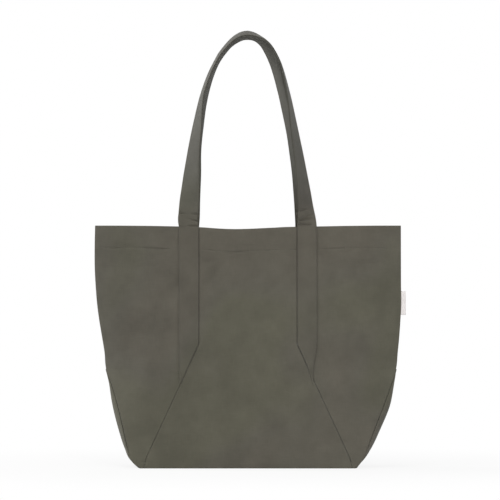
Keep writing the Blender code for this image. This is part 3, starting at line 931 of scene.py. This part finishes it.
def make_side_panel(face, hand):
    inner, outer = [0, 0.012, 0.028, 0.05], [0.95, 0.97, 0.982, 0.992, 1]
    columns = lines(
        inner + [mix(0.075, 0.93, s) for s in even(96)] + outer,
        seam_arc(), arc(sizes().roll, math.pi, sizes().allowance, 8))

    def surface(u, v):
        z = wall_height(v, mix(STRAP_INNER, HALF_MOUTH, u))
        x = hand * mix(seam_x(z) + seam_inset(z), wall_edge_x(z, hand), u)
        out = pucker(x, z) * smooth((1 - u) / 0.08) - beside_strap(x, z, face, hand)
        return wall_point(x, z, face, out), Vector((0, face, 0))

    def sides(u, v):
        if u < 0.5:
            return SEAM_ROLL, math.pi / 2
        return side_turn(v * BODY_HEIGHT, hand)

    def place(column, row):
        u, past = column
        row = foot(row, HALF_BASE)
        if u < 0.5:
            past = fin(row[0], past)
        elif row[0] * BODY_HEIGHT > BODY_HEIGHT - FACING_DEPTH:
            past = min(past, UNDER_FACING_ALLOWANCE)
        else:
            past = trimmed(past, sizes().roll * math.pi, corner_share(row[0] * BODY_HEIGHT))
        point = turned(surface, (u, past), row, sides, wall_ends)
        point.z = max(point.z, sizes().cloth / 2)
        z = wall_height(row[0], 0) + row[1]
        return point, (hand * (mix(seam_x(z), wall_edge_x(z, hand), u) + past), z)

    name = f"{FACE_NAMES[face]}_{HAND_NAMES[hand]}_panel"
    piece = cloth(name + "_canvas", columns, wall_rows(), place, stuff("canvas"))
    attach(piece, "bag")
    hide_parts(name)


def gusset_edge(z, hand):
    """Where a gusset's cloth meets the wall's turned edge: x, half width, bow and its own edge's turn."""
    lean = wall_lean(z, hand)
    open_share = smooth((GUSSET_HEIGHT - 0.003 - z) / 0.018) * smooth((z - 0.012) / 0.025)
    aside = sizes().roll + SEAM_ROLL + sizes().cloth + SEAM_CLEARANCE + GUSSET_GAP * open_share
    x = wall_edge_x(z, hand) + aside * math.cos(lean) - GUSSET_DROP * math.sin(lean)
    width = max(wall_edge_depth(z) - aside * math.sin(lean) - GUSSET_DROP * math.cos(lean), 0.0004)
    bulge = GUSSET_BULGE[hand] * math.sin(math.pi * min(z / GUSSET_HEIGHT, 1))
    bow = max(edge_x(z, hand) + bulge - sizes().cloth / 2 - x, 0.0003)
    bow *= smooth((GUSSET_HEIGHT + 0.002 - z) / 0.012)
    tilt = math.atan2(GUSSET_ROUNDNESS * bow, max(width, 0.004))
    return x, width, bow, math.pi / 2 + max(math.pi / 2 - tilt - lean, -0.3)


def make_gusset(hand):
    """The triangle between the walls, bowed outward."""
    roll = sizes().roll
    foot, tip = roll + sizes().cloth / 2, GUSSET_HEIGHT - 0.0005
    rows = lines(even(50), arc(roll, math.pi, sizes().allowance))
    columns = lines([(1 - math.cos(math.pi * s)) / 2 for s in even(40)], seam_arc(), seam_arc())

    def surface(u, v):
        across = 2 * u - 1
        z = mix(foot, tip, v)
        x, width, bow, _ = gusset_edge(z, hand)
        soft = 0.0012 * noise.noise(Vector((hand * 5, across * width * 26, z * 26)))
        soft *= smooth((1 - abs(across)) / 0.4)
        soft *= smooth(v / 0.2) * smooth((1 - v) / 0.3)
        out = x + bow * (1 - abs(across) ** GUSSET_ROUNDNESS) + soft
        return Vector((hand * out, across * width, z)), Vector((hand, 0, 0))

    def sides(u, v):
        return SEAM_ROLL, gusset_edge(mix(foot, tip, v), hand)[3]

    def place(column, row):
        z = mix(foot, tip, row[0])
        share = corner_share(z) * smooth((GUSSET_HEIGHT - 0.004 - z) / 0.02)
        column = (column[0], trimmed(column[1], SEAM_ROLL * math.pi / 2, share))
        row = (row[0], trimmed(row[1], roll * math.pi, smooth((1 - abs(2 * column[0] - 1)) / 0.35)))
        point = turned(surface, column, row, sides, always(roll, math.pi))
        return point, ((2 * column[0] - 1) * gusset_edge(z, hand)[1] + column[1], z + row[1])

    name = HAND_NAMES[hand] + "_gusset"
    piece = cloth(name + "_canvas", columns, rows, place, stuff("canvas"))
    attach(piece, "bag")
    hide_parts(name)


def make_base():
    """The bottom, whose edges turn up inside the walls."""
    roll, half = sizes().roll, sizes().cloth / 2
    reach = 3 * roll + sizes().cloth + 0.0001
    turn_up = arc(roll, math.pi / 2, sizes().allowance)
    columns, rows = lines(even(60), turn_up, turn_up), lines(even(28), turn_up, turn_up)

    def surface(u, v):
        side = wall_edge_x(half, hand_of(u - 0.5)) - reach + 0.0012
        x, y = (2 * u - 1) * side, (2 * v - 1) * (BASE_DEPTH / 2 - reach)
        lift = 0.0004 * (1 + noise.noise(Vector((x * 20, y * 20, 2))))
        lift *= smooth(min(u, 1 - u) / 0.08) * smooth(min(v, 1 - v) / 0.15)
        return Vector((x, y, half + lift)), Vector((0, 0, -1))

    def place(column, row):
        if column[1] and row[1]:
            # At a corner both allowances are cut away
            column = (column[0], trimmed(column[1], roll * math.pi / 2, 0.04))
            row = (row[0], trimmed(row[1], roll * math.pi / 2, 0.04))
        point = turned(surface, column, row, always(roll, math.pi / 2), always(roll, math.pi / 2))
        flat = surface(column[0], row[0])[0]
        return point, (flat.x + column[1], flat.y + row[1])

    piece = cloth("base_canvas", columns, rows, place, stuff("canvas"))
    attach(piece, "bag")
    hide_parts("base_panel")


def facing_hump(x):
    """How far the facing is pushed in by the panel seams that it crosses."""
    return 0.0008 * bell(abs(x) - STRAP_INNER, 0.004)


def make_facing(face):
    """The strip that lines the mouth, its two long edges turned under."""
    under = arc(FACING_ROLL, math.pi, FACING_TURNED_UNDER)
    rows, columns = lines(even(12), under, under), lines(even(150))

    def surface(u, v):
        across = 2 * u - 1
        mouth = mouth_z(across * HALF_MOUTH)
        z = mix(mouth - FACING_DEPTH, mouth - 0.0032, v)
        x = across * x_where_deep(z, hand_of(across), FACING_IN + 0.0019)
        soft = 0.0003 * noise.noise(Vector((x * 45, face * 7, z * 45))) + pucker(x, z)
        normal = wall_normal(x, z, face)
        return wall_point(x, z, face) - normal * (FACING_IN + facing_hump(x) - soft), -normal

    def place(column, row):
        point = turned(surface, column, row, always(FACING_ROLL, math.pi), always(FACING_ROLL, math.pi))
        return point, ((2 * column[0] - 1) * HALF_MOUTH, row[0] * FACING_DEPTH + row[1])

    name = FACE_NAMES[face] + "_mouth_facing"
    piece = cloth(name + "_canvas", columns, rows, place, stuff("canvas"), FACING_CLOTH)
    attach(piece, "bag")
    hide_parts(name)


def spread(points, shares):
    """Points at these shares of the smooth curve through points, whose first three values are a place."""
    points = np.array(points, float)
    at = run_lengths(points[:, :3])
    spots = np.linspace(0, at[-1], 12 * len(points))
    fine = np.array([[through(list(zip(at, column)), spot) for column in points.T] for spot in spots])
    lengths = run_lengths(fine[:, :3])
    wanted = lengths[-1] * np.array(shares)
    return np.array([np.interp(wanted, lengths, column) for column in fine.T]).T


def loop_shares():
    """Lines across a loop as shares of its length, close together near its feet for the creases there."""
    creased, fine, plain = 0.06, 44, 115
    half = [creased * k / fine for k in range(fine)] + [mix(creased, 0.5, k / plain) for k in range(plain)]
    return half + [0.5] + [1 - share for share in reversed(half)]


def loop_line(face):
    """The middle line and twist of a strap's free loop, from its left foot over the crown to its right."""
    points = FRONT_LOOP if face == FRONT else REAR_LOOP
    top = max(z for _, z, _ in points)
    line = []
    for x, z, twist in points:
        up = (z - HINGE_HEIGHT) / (top - HINGE_HEIGHT)
        line.append((x, face * mix(LOOP_FOOT_DEPTH, LOOP_TOP_DEPTH, up), z, math.radians(twist)))
    return spread(line, loop_shares())


def strap_rows(face):
    """Lines across a strap from its left mitre over the crown to its right one.

    Each is (middle surface at a distance across, the way it faces, share of its full thickness).
    """

    def leg(hand):
        made = []
        middle = STRAP_OFFSET + STRAP_TRIM
        for share in even(LEG_LINES):
            v = share**1.15
            # Sewn down flat, and free of the wall just below the mouth
            free = smooth((mix(mitre_z(middle), HINGE_HEIGHT, v) - 0.328) / 0.028)

            def spot(across, v=v, free=free):
                x = middle - across * -face
                z = mix(mitre_z(x) + 0.0006, HINGE_HEIGHT, v)
                x -= strap_taper(face, hand, z) * max(x - middle, 0) / HALF_STRAP
                x += STRAP_LEAN[(face, hand)] * smooth((z - 0.300) / 0.060)
                tuck = 0.0010 * (1 - smooth((z - mitre_z(x)) / 0.005)) + 0.0007 * (1 - free)
                return wall_point(hand * x, z, face, LEG_DEPTH - tuck)

            height = spot(0).z
            up = height - mitre_z(middle)
            facing = wall_normal(hand * middle, height, face)
            facing = facing.lerp(Vector((0, face, 0)), smooth((height - 0.335) / 0.025)).normalized()
            made.append((spot, facing, mix(0.35, 1, smooth((up + 0.002) / 0.006)) * mix(0.76, 1, free)))
        return made

    line = loop_line(face)
    middle_row = len(line) // 2
    along = np.gradient(line[:, :3], axis=0)
    along /= np.linalg.norm(along, axis=1)[:, None]
    loop = []
    for k in range(1, len(line) - 1):
        centre, forward, turn = Vector(line[k][:3]), Vector(along[k]), line[k][3]
        upright = Vector((0, 0, 1 if k < middle_row else -1))
        forward = forward.lerp(upright, 1 - smooth((centre.z - HINGE_HEIGHT) / 0.014)).normalized()
        aside = Vector((-forward.z, 0, forward.x)).normalized()
        facing = math.cos(turn) * Vector((0, face, 0)) + math.sin(turn) * aside
        sideways = forward.cross(facing).normalized()
        facing = sideways.cross(forward).normalized()
        hand = LEFT if k < middle_row else RIGHT

        def spot(across, centre=centre, sideways=sideways, facing=facing, hand=hand):
            crease = strap_crease(face, hand, centre.z - HINGE_HEIGHT, across)
            return centre + sideways * across + facing * crease

        loop.append((spot, facing, 1))
    return leg(LEFT) + loop + leg(RIGHT)[::-1]


def strap_crease(face, hand, height, across):
    """Bends of the strap just above the mouth, and its slow waves further up."""
    share = hand * face * across / HALF_STRAP
    out = 0.0
    for at, slant, start, end, depth, wide in STRAP_CREASES[(face, hand)]:
        window = smooth((share - start) / 0.5) * smooth((end + 0.3 - share) / 0.4)
        line = at + slant * HALF_STRAP * share
        out -= depth * window * bell(height - line, wide)
    wave = noise.noise(Vector((face * 3 + hand, across * 25, height * 22)))
    return out + 0.0008 * wave * smooth((height - 0.004) / 0.03)


def make_strap(face):
    """One strap: two sewn legs and the loop between them, a closed band of folded canvas."""
    rows = strap_rows(face)
    half = STRAP_THICKNESS / 2
    inner, outer = (OPEN_EDGE, FOLDED_EDGE) if face == FRONT else (FOLDED_EDGE, OPEN_EDGE)
    ring = [(-d, t) for d, t in reversed(outer)] + list(inner[1:])
    ring += [(d, -t) for d, t in reversed(inner[:-1])] + [(-d, -t) for d, t in outer[1:-1]]
    ring.append(ring[0])
    lengths = run_lengths(np.array([spot(0) for spot, _, _ in rows]))
    girth = run_lengths(np.array(ring))

    def place(i, j):
        (spot, facing, share), (across, thick) = rows[j], ring[i]
        return spot(across) + facing * (thick * half * share), (girth[i], lengths[j])

    band = laid_grid(range(len(ring)), range(len(rows)), place)
    bmesh.ops.remove_doubles(band, verts=band.verts, dist=1e-6)
    ends = [edge for edge in band.edges if edge.is_boundary]
    bmesh.ops.holes_fill(band, edges=ends, sides=0)
    bmesh.ops.recalc_face_normals(band, faces=band.faces)
    name = FACE_NAMES[face]
    piece = finished(band, name + "_strap", stuff("strap_canvas"))
    bend_at_mouth(piece)
    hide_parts(name + "_left_strap_leg", name + "_right_strap_leg", name + "_handle")
    make_strap_stitches(face, rows)


def make_strap_stitches(face, rows):
    """Edge stitches of a strap: all along its outer side, and on the loop's inner side."""
    stitches = []
    half = STRAP_THICKNESS / 2
    foot, leg = 3, LEG_LINES + 4
    for across in (-STRAP_GROOVE, STRAP_GROOVE):
        for out, part in ((1, rows[foot:-foot]), (-1, rows[leg:-leg])):
            points = [spot(across) + facing * (out * 0.80 * half * share) for spot, facing, share in part]
            stitches.append(stitch_line(points, [facing * out for _, facing, _ in part], 0.00010))
    piece = sewn(FACE_NAMES[face] + "_strap_stitches", stitches)
    bend_at_mouth(piece)


def bend_at_mouth(piece):
    """Bakes the piece's place into its mesh, so the strap stays as built."""
    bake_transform(piece)


def make_wall_stitches(face):
    """The facing's stitched line, outside and inside, and the straps' lines as they show inside."""
    stitches = []
    half = sizes().cloth / 2
    spans = (
        (-HALF_MOUTH + 0.004, -STRAP_OUTER - 0.001),
        (-STRAP_INNER + 0.001, STRAP_INNER - 0.001),
        (STRAP_OUTER + 0.001, HALF_MOUTH - 0.004),
    )
    for low, high in spans:
        places = [(x, facing_line_z(x)) for x in np.linspace(low, high, 60)]
        ways = [wall_normal(x, z, face) for x, z in places]
        points = [wall_point(x, z, face, pucker(x, z)) + way * half for (x, z), way in zip(places, ways)]
        stitches.append(stitch_line(points, ways, -0.00002))
    places = [(x, facing_line_z(x)) for x in np.linspace(-HALF_MOUTH + 0.012, HALF_MOUTH - 0.012, 160)]
    ways = [wall_normal(x, z, face) for x, z in places]
    points = [
        wall_point(x, z, face) - way * (FACING_IN + FACING_CLOTH / 2 + facing_hump(x))
        for (x, z), way in zip(places, ways)
    ]
    stitches.append(stitch_line(points, [-way for way in ways], 0.0002))
    # The facing hides the straps' lines from its lower edge up
    under_facing = BODY_HEIGHT - FACING_DEPTH - MOUTH_DIP - 0.002
    for hand in HANDS:
        for x in (STRAP_INNER + sizes().stitch_inset, STRAP_OUTER - sizes().stitch_inset):
            heights = np.linspace(mitre_z(x) + 0.004, under_facing, 50)
            ways = [-wall_normal(hand * x, z, face) for z in heights]
            points = [
                wall_point(hand * x, z, face, pucker(x, z)) + way * half for z, way in zip(heights, ways)
            ]
            stitches.append(stitch_line(points, ways, 0.00010))
    piece = sewn(FACE_NAMES[face] + "_wall_stitches", stitches)
    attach(piece, "bag")


def tape_outline(reach, thick):
    """Half turns of a tape laid round raw edges: (distance from the seam, distance from its plane)."""
    flank = [(reach * s, thick) for s in (0, 0.2, 0.4, 0.6, 0.8)]
    end = [(reach * 0.8 + 0.2 * reach * math.sin(a), thick * math.cos(a)) for a in (0.4, 0.8, 1.2)]
    tip = [(reach, 0.0)]
    return flank + end + tip + [(d, -t) for d, t in reversed(end)] + [(d, -t) for d, t in reversed(flank)]


def make_binding(name, spine, count):
    """Tape folded over a seam's raw edges.

    spine(t) gives the seam's place, the way in and the way that the seam's plane faces.
    """
    reach = TAPE_WIDTH
    thick = sizes().cloth + sizes().tape / 2 + TAPE_OFF_CLOTH
    outline = tape_outline(reach, thick)

    def place(column, t):
        seam, inward, facing = spine(t)
        away, out = outline[column]
        ripple = 0.00025 * noise.noise(Vector((away * 120, t * count * 0.35, out * 200)))
        flat = (column * TAPE_COLUMN, t * count * TAPE_ROW)
        return seam + inward * (away + TAPE_OFF_SEAM) + facing * (out + ripple), flat

    material = stuff("binding_tape")
    piece = cloth(name + "_tape", range(len(outline)), even(count), place, material, sizes().tape)
    stitches = []
    for out in (1, -1):
        points, ways = [], []
        for t in even(count):
            seam, inward, facing = spine(t)
            points.append(seam + inward * (reach * 0.35) + facing * out * (thick + sizes().tape / 2))
            ways.append(facing * out)
        stitches.append(stitch_line(points, ways, 0.0))
    threads = sewn(name + "_stitches", stitches)
    for made in (piece, threads):
        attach(made, "bag")
    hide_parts(name)
    length = sum((spine(t)[0] - spine(t + 1 / count)[0]).length for t in even(count)[:-1])


def make_side_binding(hand):
    low, high = GUSSET_HEIGHT + 0.0003, BODY_HEIGHT - FACING_DEPTH - 0.002

    def spine(t):
        z = mix(low, high, t)
        clear = x_where_deep(z, hand, 0.0026)
        return Vector((hand * (clear - 0.0004), 0, z)), Vector((-hand, 0, 0)), Vector((0, 1, 0))

    make_binding(HAND_NAMES[hand] + "_side_seam_binding", spine, 60)


def make_gusset_binding(face, hand):
    low, high = 0.0145, GUSSET_HEIGHT - 0.010
    inside = 2 * sizes().roll + (sizes().cloth / 2 + CLOTH_CLEARANCE)

    def spine(t):
        z = mix(low, high, t)
        lean = wall_lean(z, hand)
        facing = Vector((hand * math.sin(lean), face * math.cos(lean), 0))
        inward = Vector((-hand * math.cos(lean), face * math.sin(lean), 0))
        edge = Vector((hand * wall_edge_x(z, hand), face * wall_edge_depth(z), z))
        return edge - facing * inside + inward * 0.0012, inward, facing

    make_binding(f"{FACE_NAMES[face]}_{HAND_NAMES[hand]}_gusset_seam_binding", spine, 44)


def make_base_binding(face):
    roll, half = sizes().roll, sizes().cloth / 2 + CLOTH_CLEARANCE
    # The tape leans in with the wall, from its foot to its upper edge, and stops short of the corners
    foot, head, short = 0.004, 0.014, 0.016

    def spine(t):
        across = 2 * t - 1
        x = across * (wall_edge_x(foot, hand_of(across)) - short)
        depth = lofted_depth(x, foot) - 2 * roll - half
        lean = (lofted_depth(x, foot) - lofted_depth(x, head)) / (head - foot) + 0.12
        upward = Vector((0, -face * lean, 1)).normalized()
        return Vector((x, face * depth, 0.0026)), upward, Vector((0, face, 0))

    make_binding(FACE_NAMES[face] + "_base_seam_binding", spine, 100)


def make_label():
    """A bare satin label, folded once, its two ends in the side seam."""
    # Its ends are caught 1 mm behind the walls' turned edges
    root = wall_edge_x(LABEL_FOOT + LABEL_HEIGHT / 2, RIGHT) - 0.0010
    reach = LABEL_SEAM + LABEL_REACH - root
    # One layer from the seam out to the fold: (share of the reach, distance from the label's middle)
    layer = [(s, 0.00034) for s in (0, 0.1, 0.2, 0.35, 0.5, 0.65, 0.8, 0.9)] + [(0.97, 0.00028), (1, 0.00012)]
    outline = layer + [(s, -aside) for s, aside in reversed(layer)]

    def place(column, t):
        share, aside = outline[column]
        z = LABEL_FOOT + LABEL_HEIGHT * t
        curl = 0.0006 * share**2 * math.sin(t * 4.2 + 0.6)
        return Vector((root + reach * share, aside * (1 + 0.4 * share) + curl, z)), (column * 0.0009, z)

    piece = cloth("side_label_satin", range(len(outline)), even(22), place, stuff("label"), 0.0003)
    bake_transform(piece)
    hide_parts("side_label")


def make_stage():
    """Pale floor, white surroundings for the eye, soft studio light and the camera."""
    white = (1, 1, 1, 1)
    ground = bmesh.new()
    bmesh.ops.create_grid(ground, x_segments=1, y_segments=1, size=60)
    material, tree, shader = new_material("matt_floor_paint")
    place = add(tree, "ShaderNodeTexCoord").outputs["Object"]
    grain = add(tree, "ShaderNodeTexNoise", {"Scale": 40.0, "Vector": place})
    tone = add(tree, "ShaderNodeMapRange", {0: grain.outputs[0], 1: 0.3, 2: 0.7, 3: 0.985, 4: 1.0})
    paint = add(tree, "ShaderNodeVectorMath", {0: tuple(colours().floor), 3: tone.outputs[0]},
                operation="SCALE")
    tree.links.new(paint.outputs[0], shader.inputs["Base Color"])
    shader.inputs["Roughness"].default_value = 0.9
    shader.inputs["Specular IOR Level"].default_value = 0.1
    glow = add(tree, "ShaderNodeEmission", {"Color": white, "Strength": 1.0})
    path = add(tree, "ShaderNodeLightPath")
    # To the eye the floor runs out into white, and near the bag it still takes a soft shadow
    away = add(tree, "ShaderNodeVectorMath", {0: place}, operation="LENGTH")
    white_share = add(tree, "ShaderNodeMapRange",
                      {0: away.outputs["Value"], 1: 0.2, 2: 0.9, 3: 0.86, 4: 1.0},
                      interpolation_type="SMOOTHSTEP")
    seen = add(tree, "ShaderNodeMath", {0: path.outputs["Is Camera Ray"], 1: white_share.outputs[0]},
               operation="MULTIPLY")
    both = add(tree, "ShaderNodeMixShader", {0: seen.outputs[0], 1: shader.outputs[0], 2: glow.outputs[0]})
    tree.links.new(both.outputs[0], tree.nodes["Material Output"].inputs["Surface"])
    floor = finished(ground, "floor", material)

    world = bpy.context.scene.world or bpy.data.worlds.new("studio")
    bpy.context.scene.world = world
    world.use_nodes = True
    tree = world.node_tree
    tree.nodes.clear()
    path = add(tree, "ShaderNodeLightPath")
    eye = add(tree, "ShaderNodeMath", {0: path.outputs["Is Camera Ray"], 1: path.outputs["Is Glossy Ray"]},
              operation="MAXIMUM")
    eye = add(tree, "ShaderNodeMath", {0: eye.outputs[0], 1: path.outputs["Is Transmission Ray"]},
              operation="MAXIMUM")
    around = add(tree, "ShaderNodeBackground", {"Color": white, "Strength": SURROUND})
    behind = add(tree, "ShaderNodeBackground", {"Color": white, "Strength": 1.0})
    both = add(tree, "ShaderNodeMixShader", {0: eye.outputs[0], 1: around.outputs[0], 2: behind.outputs[0]})
    out = add(tree, "ShaderNodeOutputWorld", {0: both.outputs[0]})
    out.is_active_output = True

    for name, spot, wide, watts in LAMPS:
        lamp = bpy.data.lights.new(name, "AREA")
        lamp.shape = "SQUARE"
        lamp.size = wide
        lamp.energy = watts
        light = put_in_scene(name, lamp)
        light.location = spot
        light.rotation_euler = (LAMPS_AIM - Vector(spot)).to_track_quat("-Z", "Y").to_euler()

    lens = bpy.data.cameras.new("camera")
    lens.sensor_width = SENSOR
    lens.lens = SENSOR * VIEW_DISTANCE / VIEW_WIDTH
    lens.clip_end = 200
    camera = put_in_scene("camera", lens)
    camera.location = CAMERA_PLACE
    camera.rotation_euler = (math.pi / 2, 0, 0)
    bpy.context.scene.camera = camera
    bpy.context.scene.view_settings.view_transform = "Standard"


# ---- operators, panel and running


class BAG_OT_centre_panels(bpy.types.Operator):
    """Makes the front and rear centre panels"""

    bl_idname = "bag.centre_panels"
    bl_label = "Centre panels"

    def execute(self, context):
        for face in FACES:
            make_centre_panel(face)
        return {"FINISHED"}


class BAG_OT_side_panels(bpy.types.Operator):
    """Makes the four side panels of the walls"""

    bl_idname = "bag.side_panels"
    bl_label = "Side panels"

    def execute(self, context):
        for face in FACES:
            for hand in HANDS:
                make_side_panel(face, hand)
        return {"FINISHED"}


class BAG_OT_gussets(bpy.types.Operator):
    """Makes the two gussets between the walls"""

    bl_idname = "bag.gussets"
    bl_label = "Gussets"

    def execute(self, context):
        for hand in HANDS:
            make_gusset(hand)
        return {"FINISHED"}


class BAG_OT_base(bpy.types.Operator):
    """Makes the bottom panel"""

    bl_idname = "bag.base"
    bl_label = "Base"

    def execute(self, context):
        make_base()
        return {"FINISHED"}


class BAG_OT_facings(bpy.types.Operator):
    """Makes the strips that line the mouth"""

    bl_idname = "bag.facings"
    bl_label = "Mouth facings"

    def execute(self, context):
        for face in FACES:
            make_facing(face)
        return {"FINISHED"}


class BAG_OT_bindings(bpy.types.Operator):
    """Makes the tapes over the raw edges inside, with their stitches"""

    bl_idname = "bag.bindings"
    bl_label = "Seam bindings"

    def execute(self, context):
        for hand in HANDS:
            make_side_binding(hand)
            for face in FACES:
                make_gusset_binding(face, hand)
        for face in FACES:
            make_base_binding(face)
        return {"FINISHED"}


class BAG_OT_straps(bpy.types.Operator):
    """Makes the two shoulder straps with their edge stitches"""

    bl_idname = "bag.straps"
    bl_label = "Straps"

    def execute(self, context):
        for face in FACES:
            make_strap(face)
        return {"FINISHED"}


class BAG_OT_wall_stitches(bpy.types.Operator):
    """Makes the stitches that show on the walls"""

    bl_idname = "bag.wall_stitches"
    bl_label = "Wall stitches"

    def execute(self, context):
        for face in FACES:
            make_wall_stitches(face)
        return {"FINISHED"}


class BAG_OT_label(bpy.types.Operator):
    """Makes the bare label in the side seam"""

    bl_idname = "bag.label"
    bl_label = "Side label"

    def execute(self, context):
        make_label()
        return {"FINISHED"}


class BAG_OT_stage(bpy.types.Operator):
    """Makes the floor, the light and the camera"""

    bl_idname = "bag.stage"
    bl_label = "Stage"

    def execute(self, context):
        make_stage()
        return {"FINISHED"}


OPERATORS = (
    BAG_OT_centre_panels, BAG_OT_side_panels, BAG_OT_gussets, BAG_OT_base, BAG_OT_facings,
    BAG_OT_bindings, BAG_OT_straps, BAG_OT_wall_stitches, BAG_OT_label, BAG_OT_stage,
)


class BAG_PT_panel(bpy.types.Panel):
    """Sizes, colours and steps of the shopping bag"""

    bl_label = "Shopping bag"
    bl_idname = "BAG_PT_panel"
    bl_space_type = "VIEW_3D"
    bl_region_type = "UI"
    bl_category = "Shopping bag"

    def draw(self, context):
        for group in (context.scene.bag_sizes, context.scene.bag_colours):
            for name in group.__annotations__:
                self.layout.prop(group, name)
        for operator in OPERATORS:
            self.layout.operator(operator.bl_idname)


CLASSES = (BagSizes, BagColours, *OPERATORS, BAG_PT_panel)


def register():
    for cls in CLASSES:
        bpy.utils.register_class(cls)
    bpy.types.Scene.bag_sizes = PointerProperty(type=BagSizes)
    bpy.types.Scene.bag_colours = PointerProperty(type=BagColours)


def unregister():
    del bpy.types.Scene.bag_colours
    del bpy.types.Scene.bag_sizes
    for cls in reversed(CLASSES):
        bpy.utils.unregister_class(cls)


def main():
    register()
    bpy.ops.bag.centre_panels()
    bpy.ops.bag.side_panels()
    bpy.ops.bag.gussets()
    bpy.ops.bag.base()
    bpy.ops.bag.facings()
    bpy.ops.bag.bindings()
    bpy.ops.bag.straps()
    bpy.ops.bag.wall_stitches()
    bpy.ops.bag.label()
    bpy.ops.bag.stage()
    bpy.context.view_layer.update()


if __name__ == "__main__":
    main()
